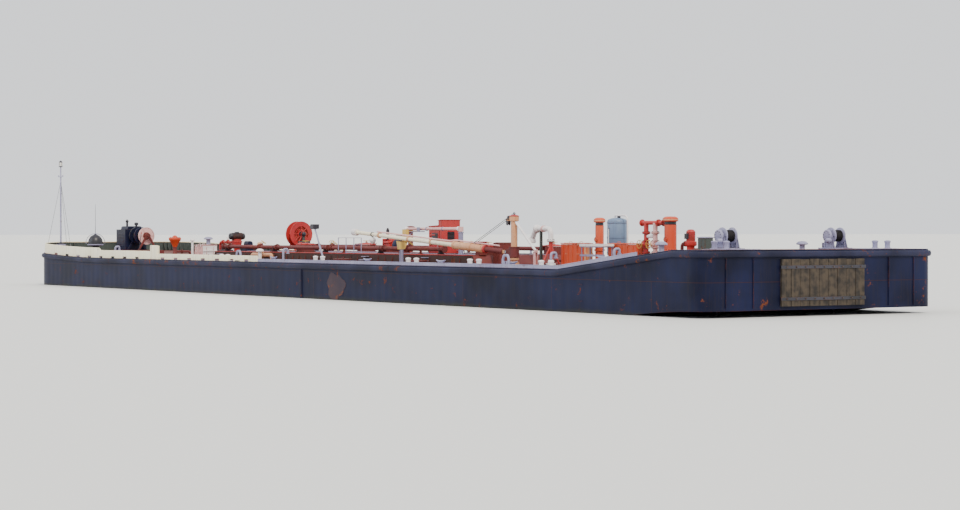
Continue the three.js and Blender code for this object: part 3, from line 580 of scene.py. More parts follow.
class Yard:
    """Keeps the finished pieces, and the bolts that each body gets in one piece at the end."""

    pieces: list[bpy.types.Object] = []
    studs: dict[str, list[tuple[Vector, Vector, float]]] = {}

    @classmethod
    def settle(
        cls, name: str, mesh: bpy.types.Mesh, body: str, coat: Coat, replaces: Sequence[str] = (),
        bend: tuple[str, Vector, Vector] | None = None,
    ) -> None:
        """Puts a finished mesh in the scene and tells the frame about it.

        Args:
            name: The piece's name.
            mesh: Its mesh, in place.
            body: The CAD body that it moves with.
            coat: The coat that most of it has; not used.
            replaces: The CAD nodes that it stands for.
            bend: If given, the piece is left where it stands and joins no body; the second body and the
                points in it are not used.
        """
        piece = bpy.data.objects.new(name, mesh)
        bpy.context.scene.collection.objects.link(piece)
        if bend:
            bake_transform(piece)
        else:
            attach(piece, body)
        if replaces:
            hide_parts(*replaces)
        cls.pieces.append(piece)


class Shape:
    """One piece's faces, gathered in real millimetres, with a coat for each face."""

    def __init__(self, name: str, coat: Coat, at: Triple = (0, 0, 0), turn: float = 0.0) -> None:
        """Starts an empty piece.

        Args:
            name: The piece's name.
            coat: The coat of the faces to come.
            at: Where the sizes that follow are measured from.
            turn: How far the piece is turned about the vertical there, in degrees.
        """
        self.name = name
        self.origin = Vector(at)
        self.place = Matrix.Translation(at) @ Matrix.Rotation(math.radians(turn), 4, "Z")
        self.points: list[Vector] = []
        self.faces: list[tuple[int, ...]] = []
        self.marks: list[int] = []
        self.coats: list[Coat] = []
        self.studs: list[tuple[Vector, Vector, float]] = []
        self.use(coat)

    def use(self, coat: Coat) -> "Shape":
        """Sets the coat of the faces to come."""
        if coat not in self.coats:
            self.coats.append(coat)
        self.mark = self.coats.index(coat)
        return self

    def loft(self, rings: Sequence[Sequence[Vector]], looped: bool = False) -> None:
        """Skins a row of rings, and closes its two ends unless it runs round to its start.

        Args:
            rings: Rings of the same number of points.
            looped: Whether the last ring joins the first.
        """
        n, start = len(rings[0]), len(self.points)
        before = len(self.faces)
        for i in range(len(rings) if looped else len(rings) - 1):
            a, b = start + i * n, start + (i + 1) % len(rings) * n
            self.faces += [(a + k, a + (k + 1) % n, b + (k + 1) % n, b + k) for k in range(n)]
        if not looped:
            last = start + (len(rings) - 1) * n
            self.faces += [tuple(range(start + n - 1, start - 1, -1)), tuple(range(last, last + n))]
        self.points += [self.place @ p for ring in rings for p in ring]
        self.marks += [self.mark] * (len(self.faces) - before)

    def box(self, x0: float, x1: float, y0: float, y1: float, z0: float, z1: float) -> None:
        """Adds a block between two corners, whose distances along Y may come in either order."""
        y0, y1 = sorted((y0, y1))
        corners = ((x0, y0), (x1, y0), (x1, y1), (x0, y1))
        self.loft([[Vector((x, y, z)) for x, y in corners] for z in (z0, z1)])

    def rod(self, a: Triple, b: Triple, radius: float, tip: float | None = None, sides: int = 12) -> None:
        """Adds a round bar, or a cone if its tip has a radius of its own."""
        start, end = Vector(a), Vector(b)
        rings = ((start, radius), (end, radius if tip is None else tip))
        self.loft([circle(middle, end - start, r, sides) for middle, r in rings])

    def lathe(
        self, profile: Sequence[tuple[float, float]], at: Triple = (0, 0, 0), axis: Triple = UP,
        sides: int = 28
    ) -> None:
        """Adds a turned body.

        Args:
            profile: Radius and height pairs, from one end on the axis to the other.
            at: Where the heights start.
            axis: Direction of the heights.
            sides: How many sides.
        """
        base, up = Vector(at), Vector(axis).normalized()
        self.loft([circle(base + up * h, up, max(r, 0.6), sides) for r, h in profile])

    def tube(
        self, path: Sequence[Triple], radius: float | Sequence[float], sides: int = 12, looped: bool = False
    ) -> None:
        """Adds a pipe along a path, without a twist.

        Args:
            path: Points along its middle.
            radius: Its radius, or one for each point.
            sides: How many sides.
            looped: Whether it runs round to its start.
        """
        points = [Vector(p) for p in path]
        sizes = radius if isinstance(radius, Sequence) else [radius] * len(points)
        rings, first = [], None
        for i, point in enumerate(points):
            before = points[i - 1] if i or looped else point
            after = points[(i + 1) % len(points)] if i < len(points) - 1 or looped else point
            rings.append(circle(point, after - before, sizes[i], sides, first))
            first = rings[-1][0] - point
        self.loft(rings, looped)

    def pipe(self, corners: Sequence[Triple], radius: float, bend: float = 2.6, sides: int = 14) -> None:
        """Adds a pipe with elbows, whose bends begin at bend radii from each corner."""
        self.tube(rounded_path(corners, radius * bend), radius, sides)

    def prism(self, outline: Sequence[tuple[float, float]], plane: str, low: float, high: float) -> None:
        """Adds a plate or block cut to an outline.

        Args:
            outline: Corners in the plane.
            plane: "xz", "xy" or "yz".
            low: Where it starts along the third axis.
            high: Where it ends.
        """
        place: dict[str, Callable[[float, float, float], Vector]] = {
            "xz": lambda a, b, c: Vector((a, c, b)),
            "xy": lambda a, b, c: Vector((a, b, c)),
            "yz": lambda a, b, c: Vector((c, a, b)),
        }
        self.loft([[place[plane](a, b, c) for a, b in outline] for c in (low, high)])

    def ring(
        self, at: Triple, axis: Triple, outer: float, inner: float, thickness: float, sides: int = 32,
        turn: tuple[float, float] = (0.0, 360.0),
    ) -> None:
        """Adds a flat ring with square edges, or a part of one.

        Args:
            at: Middle of the ring.
            axis: Direction that it is square to.
            outer: Its outer radius.
            inner: Its inner radius.
            thickness: Its thickness.
            sides: How many sides.
            turn: Where it starts and ends, in degrees from its highest point.
        """
        centre, n = Vector(at), Vector(axis).normalized()
        u, v = circle(Vector(), n, 1.0, 4)[:2]
        section = [(r, s * thickness / 2) for s, r in ((-1, inner), (-1, outer), (1, outer), (1, inner))]
        whole = turn[1] - turn[0] >= 360
        rings = []
        for i in range(sides if whole else sides + 1):
            a = math.radians(turn[0] + (turn[1] - turn[0]) * i / sides)
            rings.append([centre + (u * math.cos(a) + v * math.sin(a)) * r + n * s for r, s in section])
        self.loft(rings, looped=whole)

    def footing(self, x0: float, x1: float, y0: float, y1: float, top: float) -> None:
        """Adds a foundation between two corners, whose underside follows the deck and whose top is level."""
        at = self.origin
        under = [(x - at.x, deck_z(x) + GAP - at.z) for x in with_sheer(at.x + x0, at.x + x1)]
        self.prism([*under, (x1, top), (x0, top)], "xz", y0, y1)

    @classmethod
    def on_deck(cls, name: str, coat: Coat, x: float, y: float, reach: float) -> "Shape":
        """Starts a piece that stands level on the sloping deck, on a square footing.

        Args:
            name: The piece's name.
            coat: The footing's coat.
            x: Its station.
            y: Its distance from the centreline.
            reach: How far its footing goes each way.

        Returns:
            The piece, measured from the higher side of its footing.
        """
        piece = cls(name, coat, (x, y, max(deck_z(x - reach), deck_z(x + reach)) + GAP))
        piece.footing(-reach, reach, -reach, reach, 25)
        return piece

    def stud_ring(self, at: Triple, axis: Triple, radius: float, count: int, size: float) -> None:
        """Puts bolt heads evenly on a circle, facing along an axis.

        Args:
            at: Middle of the circle, on the face that they sit on.
            axis: Direction that they face.
            radius: The circle's radius.
            count: How many.
            size: Size across.
        """
        n = Vector(axis).normalized()
        facing = self.place.to_3x3() @ n
        self.studs += [(self.place @ p, facing, size) for p in circle(Vector(at), n, radius, count)]

    def stud(self, at: Triple, axis: Triple, size: float) -> None:
        """Puts one bolt head on a face."""
        self.stud_ring(at, axis, 0.0, 1, size)

    def flange(self, at: Triple, axis: Triple, radius: float) -> None:
        """Adds a pair of bolted pipe flanges with a gasket between them.

        Args:
            at: Middle of the joint.
            axis: The pipe's direction.
            radius: The flanges' radius.
        """
        centre, n = Vector(at), Vector(axis).normalized()
        gasket, thickness, bolts = 3, 26, 8
        for side in (-1, 1):
            near, far = (centre + n * side * reach for reach in (gasket, gasket + thickness))
            self.rod(near, far, radius, sides=24)
            self.stud_ring(far, n * side, radius * 0.8, bolts, radius * 0.2)
        self.rod(centre - n * gasket, centre + n * gasket, radius * 0.9, sides=24)

    def wheel(self, at: Triple, axis: Triple, radius: float, rim: float = 14) -> None:
        """Adds a handwheel with five dished spokes and a hub.

        Args:
            at: Middle of the rim.
            axis: Its spindle's direction.
            radius: The rim's radius.
            rim: Half the rim's thickness.
        """
        centre, n = Vector(at), Vector(axis).normalized()
        self.tube(circle(centre, n, radius, 24), rim, 8, looped=True)
        for foot in circle(centre, n, radius, 5):
            self.rod(centre - n * rim * 1.6, foot, rim * 0.62, sides=8)
        self.rod(centre - n * rim * 3, centre + n * rim * 1.6, rim * 1.9)

    def spokes(
        self, y: float, z: float, reach: tuple[float, float], count: int, radius: float, tip: float,
        sides: int = 8
    ) -> None:
        """Adds tapered arms from a hub to a rim that stands square to Y.

        Args:
            y: Where the rim stands along Y.
            z: Height of its middle.
            reach: Distances from the middle at which the arms start and end.
            count: How many arms.
            radius: An arm's radius at the hub.
            tip: Its radius at the rim.
            sides: How many sides an arm has.
        """
        centre = Vector((0, y, z))
        for i in range(count):
            angle = math.tau * i / count
            out = Vector((math.cos(angle), 0, math.sin(angle)))
            self.rod(centre + out * reach[0], centre + out * reach[1], radius, tip, sides)

    def grip(self, a: Triple, b: Triple, out: Triple, radius: float) -> None:
        """Adds a handle of bent bar between two points.

        Args:
            a: One foot.
            b: The other foot.
            out: How far and which way it stands off.
            radius: The bar's radius.
        """
        off, bend = Vector(out), 30.0
        self.tube(rounded_path([a, Vector(a) + off, Vector(b) + off, b], bend, 3), radius, 8)

    def gate_valve(self, at: Triple, along: Triple, stem: Triple, bore: float,
                   wheel: Coat = Coat.YELLOW) -> None:
        """Adds a gate valve with bonnet, stem and handwheel.

        Args:
            at: Middle of its body.
            along: The pipe's direction.
            stem: The spindle's direction.
            bore: The pipe's radius.
            wheel: The handwheel's coat.
        """
        centre, n, up = Vector(at), Vector(along).normalized(), Vector(stem).normalized()
        held = self.coats[self.mark]
        for side in (-1, 1):
            face = centre + n * side * bore * 1.5
            self.rod(centre + n * side * bore * 1.2, face, bore * 1.75, sides=24)
            self.stud_ring(face, n * side, bore * 1.4, 8, bore * 0.34)
        body = ((0, -1.25), (1, -1.2), (1.28, -0.5), (1.28, 0.5), (1, 1.2), (0, 1.25))
        bonnet = ((0, 0), (0.95, 0), (0.8, 1.3), (1.35, 1.4), (1.35, 1.75), (0.6, 1.95), (0.42, 2.6),
                  (0, 2.65))
        for profile, axis in ((body, n), (bonnet, up)):
            self.lathe([(r * bore, h * bore) for r, h in profile], centre, axis, 20)
        self.stud_ring(centre + up * bore * 1.75, up, bore * 1.1, 6, bore * 0.3)
        self.use(Coat.ZINC).rod(centre + up * bore * 2.5, centre + up * bore * 3.9, bore * 0.14)
        self.use(wheel).wheel(centre + up * bore * 3.6, up, bore * 1.7, bore * 0.14)
        self.use(held)

    def make(
        self, body: str = ROOT, replaces: Sequence[str] = (), bevel: float = 5.0,
        row: tuple[int, Triple] | None = None, bend: tuple[str, Vector, Vector] | None = None,
    ) -> None:
        """Finishes the piece: outward faces, small chamfers, coats, and its place in the frame.

        Args:
            body: The CAD body that it moves with.
            replaces: The CAD nodes that it stands for.
            bevel: Width of the chamfers, or 0 for none.
            row: How often and how far apart it is repeated.
            bend: Passed on when the piece is settled: if given, it is left where it stands and joins no body;
                the second body and the points in it are not used.
        """
        mesh = bpy.data.meshes.new(self.name)
        mesh.from_pydata([p * MM for p in self.points], [], self.faces)
        mesh.polygons.foreach_set("material_index", self.marks)
        work = bmesh.new()
        work.from_mesh(mesh)
        bmesh.ops.recalc_face_normals(work, faces=work.faces)
        if bevel:
            arrises = [e for e in work.edges if e.is_manifold and e.calc_face_angle() > SHARP]
            bmesh.ops.bevel(
                work, geom=arrises, offset=bevel * MM, offset_type="OFFSET", segments=1, affect="EDGES",
                profile=0.5, clamp_overlap=True, material=-1,
            )
        work.to_mesh(mesh)
        work.free()
        for coat in self.coats:
            mesh.materials.append(Paintshop.mix(coat))
        if row:
            mesh = RowOfPieces.run(mesh, {"Count": row[0], "Step": Vector(row[1]) * MM}, self.coats[0])
        mesh.polygons.foreach_set("use_smooth", [True] * len(mesh.polygons))
        mesh.set_sharp_from_angle(angle=SHARP)
        Yard.settle(self.name, mesh, body, self.coats[0], replaces, bend)
        Yard.studs.setdefault(body, []).extend(self.studs)


# Repeats and windings, made by node trees


class NodeRecipe:
    """A geometry tree with named inputs, made once, run on a mesh and turned to a plain mesh."""

    sockets: Sequence[tuple[str, str]] = ()
    made: bpy.types.NodeTree | None = None

    @classmethod
    def plan(cls, tree: bpy.types.NodeTree, given: dict[str, Socket]) -> Socket:
        """Fills the tree.

        Args:
            tree: The tree, with its inputs and output.
            given: The output socket that brings each named input.

        Returns:
            The geometry that the tree makes.
        """
        raise NotImplementedError

    @classmethod
    def tree(cls) -> bpy.types.NodeTree:
        """Gives the tree, making it if it is new. It ends in real geometry with a material.

        Returns:
            The tree.
        """
        if cls.made:
            return cls.made
        tree = bpy.data.node_groups.new(cls.__name__, "GeometryNodeTree")
        sockets = (("Geometry", "Geometry"), *cls.sockets, ("Finish", "Material"))
        for label, kind in sockets:
            tree.interface.new_socket(name=label, in_out="INPUT", socket_type=f"NodeSocket{kind}")
        tree.interface.new_socket(name="Geometry", in_out="OUTPUT", socket_type="NodeSocketGeometry")
        group = add_node(tree, "NodeGroupInput").node
        given = {label: group.outputs[label] for label, _ in sockets}
        real = add_node(tree, "GeometryNodeRealizeInstances", {0: cls.plan(tree, given)})
        done = add_node(tree, "GeometryNodeSetMaterial", {"Geometry": real, "Material": given["Finish"]})
        add_node(tree, "NodeGroupOutput", {0: done})
        cls.made = tree
        return tree

    @classmethod
    def run(cls, mesh: bpy.types.Mesh, values: dict[str, object], coat: Coat) -> bpy.types.Mesh:
        """Runs the tree on a mesh.

        Args:
            mesh: The mesh to start from.
            values: A value for each named input.
            coat: The coat that the result gets.

        Returns:
            The plain mesh that comes out.
        """
        work = bpy.data.objects.new(cls.__name__, mesh)
        bpy.context.scene.collection.objects.link(work)
        modifier = work.modifiers.new("nodes", "NODES")
        modifier.node_group = cls.tree()
        given = {**values, "Finish": Paintshop.mix(coat)}
        for item in cls.tree().interface.items_tree:
            if item.in_out == "INPUT" and item.name in given:
                modifier[item.identifier] = given[item.name]
        result = bpy.data.meshes.new_from_object(work.evaluated_get(bpy.context.evaluated_depsgraph_get()))
        bpy.data.objects.remove(work)
        return result


class RowOfPieces(NodeRecipe):
    """Repeats a mesh in a straight row, as ribs, slats and rungs are."""

    sockets = (("Count", "Int"), ("Step", "Vector"))

    @classmethod
    def plan(cls, tree: bpy.types.NodeTree, given: dict[str, Socket]) -> Socket:
        """Lays an instance on each point of a line of Count points, Step apart."""
        line = add_node(tree, "GeometryNodeMeshLine", {"Count": given["Count"], "Offset": given["Step"]},
                        mode="OFFSET")
        return add_node(tree, "GeometryNodeInstanceOnPoints", {"Points": line, "Instance": given["Geometry"]})


class WoundLayer(NodeRecipe):
    """Winds one layer of wire or hose along Z, each turn beside the last."""

    sockets = (("Radius", "Float"), ("Width", "Float"), ("Thickness", "Float"))

    @classmethod
    def plan(cls, tree: bpy.types.NodeTree, given: dict[str, Socket]) -> Socket:
        """Sweeps a circle of the wire's Thickness along a helix of the given Radius and Width."""
        width, radius, wire = given["Width"], given["Radius"], given["Thickness"]
        turns = add_node(tree, "ShaderNodeMath", {0: width, 1: wire}, operation="DIVIDE")
        half = add_node(tree, "ShaderNodeMath", {0: wire, 1: 0.49}, operation="MULTIPLY")
        helix = {"Resolution": 28, "Rotations": turns, "Start Radius": radius, "End Radius": radius,
                 "Height": width}
        coil = add_node(tree, "GeometryNodeCurveSpiral", helix)
        section = add_node(tree, "GeometryNodeCurvePrimitiveCircle", {"Resolution": 7, "Radius": half})
        swept = {"Curve": coil, "Profile Curve": section, "Fill Caps": True}
        return add_node(tree, "GeometryNodeCurveToMesh", swept)


class BoltHeads(NodeRecipe):
    """Sets a hexagon bolt head with its washer on each point, by the point's facing and size."""

    sockets = (("Head", "Float"), ("Washer", "Float"))

    @classmethod
    def plan(cls, tree: bpy.types.NodeTree, given: dict[str, Socket]) -> Socket:
        """Makes a bolt one unit across, with its Head and Washer that high, and scales it at each point."""
        head = {"Vertices": 6, "Radius": 0.5, "Depth": given["Head"]}
        washer = {"Vertices": 12, "Radius": 0.62, "Depth": given["Washer"]}
        lift = {0: given["Head"], 1: 0.5, 2: given["Washer"]}
        up = add_node(tree, "ShaderNodeMath", lift, operation="MULTIPLY_ADD")
        raised = {
            "Geometry": add_node(tree, "GeometryNodeMeshCylinder", head),
            "Translation": add_node(tree, "ShaderNodeCombineXYZ", {"Z": up}),
        }
        parts = [
            add_node(tree, "GeometryNodeTransform", raised),
            add_node(tree, "GeometryNodeMeshCylinder", washer),
        ]
        facing = add_node(tree, "GeometryNodeInputNamedAttribute", {0: "facing"}, data_type="FLOAT_VECTOR")
        laid = {
            "Points": given["Geometry"],
            "Instance": add_node(tree, "GeometryNodeJoinGeometry", {0: parts}),
            "Rotation": add_node(tree, "FunctionNodeAlignRotationToVector", {"Vector": facing}, axis="Z"),
            "Scale": add_node(tree, "GeometryNodeInputNamedAttribute", {0: "size"}, data_type="FLOAT"),
        }
        return add_node(tree, "GeometryNodeInstanceOnPoints", laid)

    @classmethod
    def set_all(cls) -> None:
        """Sets every bolt head that the pieces asked for, in one piece for each body."""
        for body, places in Yard.studs.items():
            if not places:
                continue
            points = bpy.data.meshes.new("bolt_places")
            points.from_pydata([place * MM for place, _, _ in places], [], [])
            facing = points.attributes.new("facing", "FLOAT_VECTOR", "POINT")
            facing.data.foreach_set("vector", [c for _, axis, _ in places for c in axis])
            size = points.attributes.new("size", "FLOAT", "POINT")
            size.data.foreach_set("value", [across * MM for _, _, across in places])
            mesh = cls.run(points, {"Head": 0.7, "Washer": 0.12}, Coat.BOLTS)
            Yard.settle(f"bolts_{body}", mesh, body, Coat.BOLTS)


@dataclass
class Winding:
    """Wire or hose wound on a drum, layer on layer."""

    name: str
    coat: Coat
    body: str
    at: Triple
    width: float
    core: float
    thickness: float
    layers: int
    turn: float = 0.0

    def make(self) -> None:
        """Winds every layer round an axis across the barge, or turned from there, and settles them as one."""
        start = Vector((0, (self.thickness - self.width) / 2, 0))
        turned = Matrix.Translation(Vector(self.at) * MM) @ Matrix.Rotation(math.radians(self.turn), 4, "Z")
        place = turned @ Matrix.Translation(start * MM) @ Matrix.Rotation(-math.pi / 2, 4, "X")
        whole = bmesh.new()
        for layer in range(self.layers):
            values = {
                "Radius": (self.core + self.thickness * (0.5 + 0.88 * layer)) * MM,
                "Width": (self.width - self.thickness) * MM,
                "Thickness": self.thickness * MM,
            }
            whole.from_mesh(WoundLayer.run(bpy.data.meshes.new("layer"), values, self.coat))
        bmesh.ops.recalc_face_normals(whole, faces=whole.faces)
        mesh = bpy.data.meshes.new(self.name)
        whole.to_mesh(mesh)
        whole.free()
        mesh.transform(place)
        mesh.materials.append(Paintshop.mix(self.coat))
        mesh.polygons.foreach_set("use_smooth", [True] * len(mesh.polygons))
        Yard.settle(self.name, mesh, self.body, self.coat)


# Hull and deck edge


@dataclass
class Hull:
    """The plated shell with its deck: raked ends, rounded bow corners, frames that show as faint hollows."""

    frame_spacing: float = 600.0
    hollow: float = 9.0
    skeg: tuple[float, float] = (2700.0, 60.0)
    strip: tuple[float, float] = (1900.0, 110.0)
    worn: tuple[float, float] = (4200.0, 5700.0)
    first_deck_point: int = 16
    draught_bars: tuple[float, float] = (-HALF + 6300, HALF - 7000)
    anodes: Sequence[float] = (-14000, -7000, 0, 7000, 14000)

    def stations(self) -> list[float]:
        """Gives the stations of the shell's rings, close together where it curves."""
        bow = [-HALF + BOW_CORNER * (1 - math.cos(math.pi / 2 * i / 14)) for i in range(15)]
        stern = [HALF - STERN_CORNER * (1 - math.cos(math.pi / 2 * i / 8)) for i in range(9)]
        first, last = bow[-1], stern[-1]
        count = round((last - first) / 150)
        middle = [first + (last - first) * i / count for i in range(1, count)]
        return sorted({*bow, *middle, *stern, *(x for x, _ in SHEER)})

    def section(self, x: float) -> list[Vector]:
        """Draws the shell's ring at one station: the bottom, the port side, the deck and the starboard side.

        Args:
            x: The station.

        Returns:
            Points of the ring.
        """
        wide, low, top = half_breadth(x), bottom_z(x), deck_z(x)
        ends = min(1.0, (x + HALF) / 1500, (HALF - x) / 1500)
        dish = self.hollow * abs(math.sin(math.pi * x / self.frame_spacing)) * max(ends, 0.0)
        half = []
        for f in (0.0, 0.35, 0.7, 0.9, 0.93, 0.95, 0.97, 0.983, 0.993, 1.0):
            over = max(wide * f - (SIDE - BILGE), 0.0)
            round_z = BILGE - math.sqrt(max(BILGE**2 - over**2, 0.0))
            half.append((wide * f, min(max(low, round_z), top - 400)))
        foot = half[-1][1]
        for t in (0.12, 0.3, 0.5, 0.7, 0.85):
            half.append((wide - dish * math.sin(math.pi * t) ** 0.5, foot + (top - foot) * t))
        half += [(wide, top - 20), (wide - 20, top), *((wide * f, top) for f in (0.75, 0.5, 0.25))]
        starboard = [Vector((x, y, z)) for y, z in reversed(half[1:])]
        return [*(Vector((x, -y, z)) for y, z in half), Vector((x, 0, top)), *starboard]

    def build(self) -> None:
        """Builds the shell with its deck and the two skegs, then what is welded to it."""
        shell = Shape("hull_shell", Coat.HULL)
        rings = [self.section(x) for x in self.stations()]
        shell.loft(rings)
        count = len(rings[0])
        deck = len(shell.use(Coat.DECK).coats) - 1
        for i in range(len(rings) - 1):
            for k in range(self.first_deck_point, count - self.first_deck_point):
                shell.marks[i * count + k] = deck
        shell.use(Coat.HULL)
        across, half = self.skeg
        heel, aft, head = HALF - 3200, HALF - 2400, HALF - 5000
        side = (
            (HALF - STERN_RAKE + 600, 6.0),
            (heel, 0.0),
            (aft, TRANSOM_FOOT * 0.9),
            (aft, TRANSOM_FOOT + 60),
            (head, TRANSOM_FOOT),
        )
        for y in (-across, across):
            shell.prism(side, "xz", y - half, y + half)
        shell.make(replaces=("hull_bow", "hull_midbody", "hull_stern"), bevel=6)

        trim = Shape("hull_fittings", Coat.HULL)
        for y in (-2100, -1050, 0, 1050, 2100):
            trim.box(-HALF - 30, -HALF + 5, y - 12, y + 12, HEAD_LOG + 80, deck_z(-HALF) - 290)
        for y in (-4300, -3100, 3100, 4300):
            trim.box(HALF - 5, HALF + 40, y - 12, y + 12, TRANSOM_FOOT + 80, deck_z(HALF) - 290)
        x, width = self.strip
        for hand in (-1, 1):
            # a half-round strip down the side, draught bars at both ends, and zinc anodes under the water
            trim.use(Coat.BAND).rod((x, hand * SIDE, 900), (x, hand * SIDE, DEPTH - 262), width / 2, sides=10)
            trim.use(Coat.HULL)
            for at in self.draught_bars:
                for i in range(9):
                    z, length = 700 + 300 * i, 260 if i % 2 else 150
                    trim.box(at, at + length, hand * SIDE, hand * (SIDE + 8), z, z + 36)
            trim.use(Coat.ZINC)
            for at in self.anodes:
                trim.box(at, at + 600, hand * SIDE, hand * (SIDE + 30), 620, 760)
        trim.make(bevel=3)

        # doubling plates where wires have worn the side, on the port side and less on the other
        first, last = self.worn
        for name, hand, shrink in (("port", -1, 0), ("starboard", 1, 350)):
            outline = []
            for i in range(28):
                angle = math.tau * i / 28
                uneven = 1 + 0.13 * math.sin(3 * angle + 1) + 0.08 * math.sin(7 * angle)
                reach = ((last - first) / 2 - shrink) * uneven
                outline.append(((first + last) / 2 + reach * math.cos(angle),
                                2380 + 560 * uneven * math.sin(angle)))
            patch = Shape(f"worn_plate_{name}", Coat.SCALE)
            patch.prism(outline, "xz", *sorted((hand * (SIDE - 12), hand * (SIDE + 3))))
            patch.make(bevel=0)


@dataclass
class RubbingBand:
    """The half-round steel band along the deck edge, with a butt weld where each length meets the next."""

    out: float = 110.0
    top: float = -50.0
    foot: float = -260.0

    def ring(self, x: float, y: float, nx: float, ny: float, grow: float = 0.0) -> list[Vector]:
        """Draws the band's section at one place.

        Args:
            x: Station of the hull's side.
            y: Its distance from the centreline.
            nx: Outward direction along X.
            ny: Outward direction along Y.
            grow: How much it stands out further, at a weld.

        Returns:
            Points of the section.
        """
        middle, half = (self.top + self.foot) / 2, (self.top - self.foot) / 2 + grow
        out = self.out + grow
        turns = (math.pi * (i / 8 - 0.5) for i in range(9))
        bulge = [(out * (0.42 + 0.58 * math.cos(t)), middle + half * math.sin(t)) for t in turns]
        profile = [(GAP, self.foot - grow), *bulge, (GAP, self.top + grow)]
        return [Vector((x + nx * o, y + ny * o, deck_z(x) + h)) for o, h in profile]

    def build(self) -> None:
        """Builds the band all round in one piece."""
        path = plan_path(0.0)
        band = Shape("rubbing_band", Coat.BAND)
        band.loft([self.ring(*p) for p in path], looped=True)
        for x, y, nx, ny in path[::4]:
            if nx == 0.0:
                band.loft([self.ring(x + s, y, nx, ny, 5.0) for s in (-14, 14)])
        band.make(replaces=("rail_bow", "rail_stern", "rail_port", "rail_starboard"), bevel=0)


@dataclass
class Bulwark:
    """The cream plating round the bow: full height forward, a step down, a tall end post and a low coaming,
    with a rounded cap, brackets inside and slots at its foot that free the deck of water."""

    inset: float = 60.0
    plate: float = 24.0
    fore_end: float = -20300.0
    fore_height: float = 520.0
    step_length: float = 260.0
    end: float = -13150.0
    height: float = 400.0
    post_length: float = 750.0
    post_height: float = 690.0
    low_end: float = -2350.0
    low_height: float = 270.0
    first_slot: float = -26200.0
    slot_spacing: float = 1500.0
    slot_length: float = 420.0

    def top(self, x: float) -> float:
        """Gives the plating's height over the deck at a station."""
        if x > self.end:
            return self.low_height
        if x > self.end - self.post_length:
            return self.post_height
        share = min(max((x - self.fore_end) / self.step_length, 0.0), 1.0)
        return self.fore_height + (self.height - self.fore_height) * share

    def build(self) -> None:
        """Builds the plating with its cap and end posts, and a bracket inside it at each frame."""
        post = self.end - self.post_length
        starts = [self.first_slot + self.slot_spacing * i for i in range(16)]
        starts = [s for s in starts if s < self.low_end - 600 and not post - 500 < s < self.end + 200]
        slots = [(s, s + self.slot_length) for s in starts]
        step = self.fore_end + self.step_length
        edges = (self.fore_end, step, post, self.end, *(x for pair in slots for x in pair))
        knots = {self.low_end, *(x + s for x in edges for s in (-2.0, 2.0))}
        wall = Shape("bow_bulwark_plating", Coat.CREAM)
        cap, rings = [], []
        for x, y, nx, ny in plan_path(self.inset, knots):
            if x > self.low_end:
                continue
            low = deck_z(x) + (95.0 if any(a <= x <= b for a, b in slots) else GAP)
            high = deck_z(x) + self.top(x) - 20
            inner = Vector((-nx, -ny, 0)) * self.plate
            face = [Vector((x, y, low)), Vector((x, y, high))]
            rings.append([*face, face[1] + inner, face[0] + inner])
            cap.append(Vector((x - nx * 34, y - ny * 34, high - 14)))
        wall.loft(rings)
        # the third face of each length is the inboard one, painted dark drab, much darker than the cream
        # outboard face
        inboard = slice(2, 4 * (len(rings) - 1), 4)
        wall.marks[inboard] = [wall.use(Coat.DRAB).mark] * len(wall.marks[inboard])
        wall.use(Coat.CREAM).tube(cap, 36, 12)
        for hand in (-1, 1):
            outer, inner = hand * (SIDE - self.inset + 8), hand * (SIDE - self.inset - 150)
            for x in (post, self.end - 120):
                wall.box(x, x + 120, outer, inner, DECK, DECK + self.post_height - 24)
        wall.make(replaces=("bow_bulwark",), bevel=3)

        stays = Shape("bow_bulwark_brackets", Coat.DRAB)
        for x, y, nx, ny in plan_path(self.inset + self.plate):
            if x > self.low_end - 100 or post - 150 < x < self.end + 150:
                continue
            low, high = deck_z(x), deck_z(x) + self.top(x) - 60
            run = 0.55 * (high - low)
            along, inward = Vector((-ny, nx, 0)) * 8, Vector((-nx, -ny, 0))
            start = Vector((x, y, 0)) - inward * 2
            corners = [(0.0, low), (run, low), (run, low + 50), (60.0, high), (0.0, high)]
            stays.loft(
                [[start + along * s + inward * r + Vector((0, 0, z)) for r, z in corners] for s in (-1, 1)]
            )
        stays.make(bevel=2)


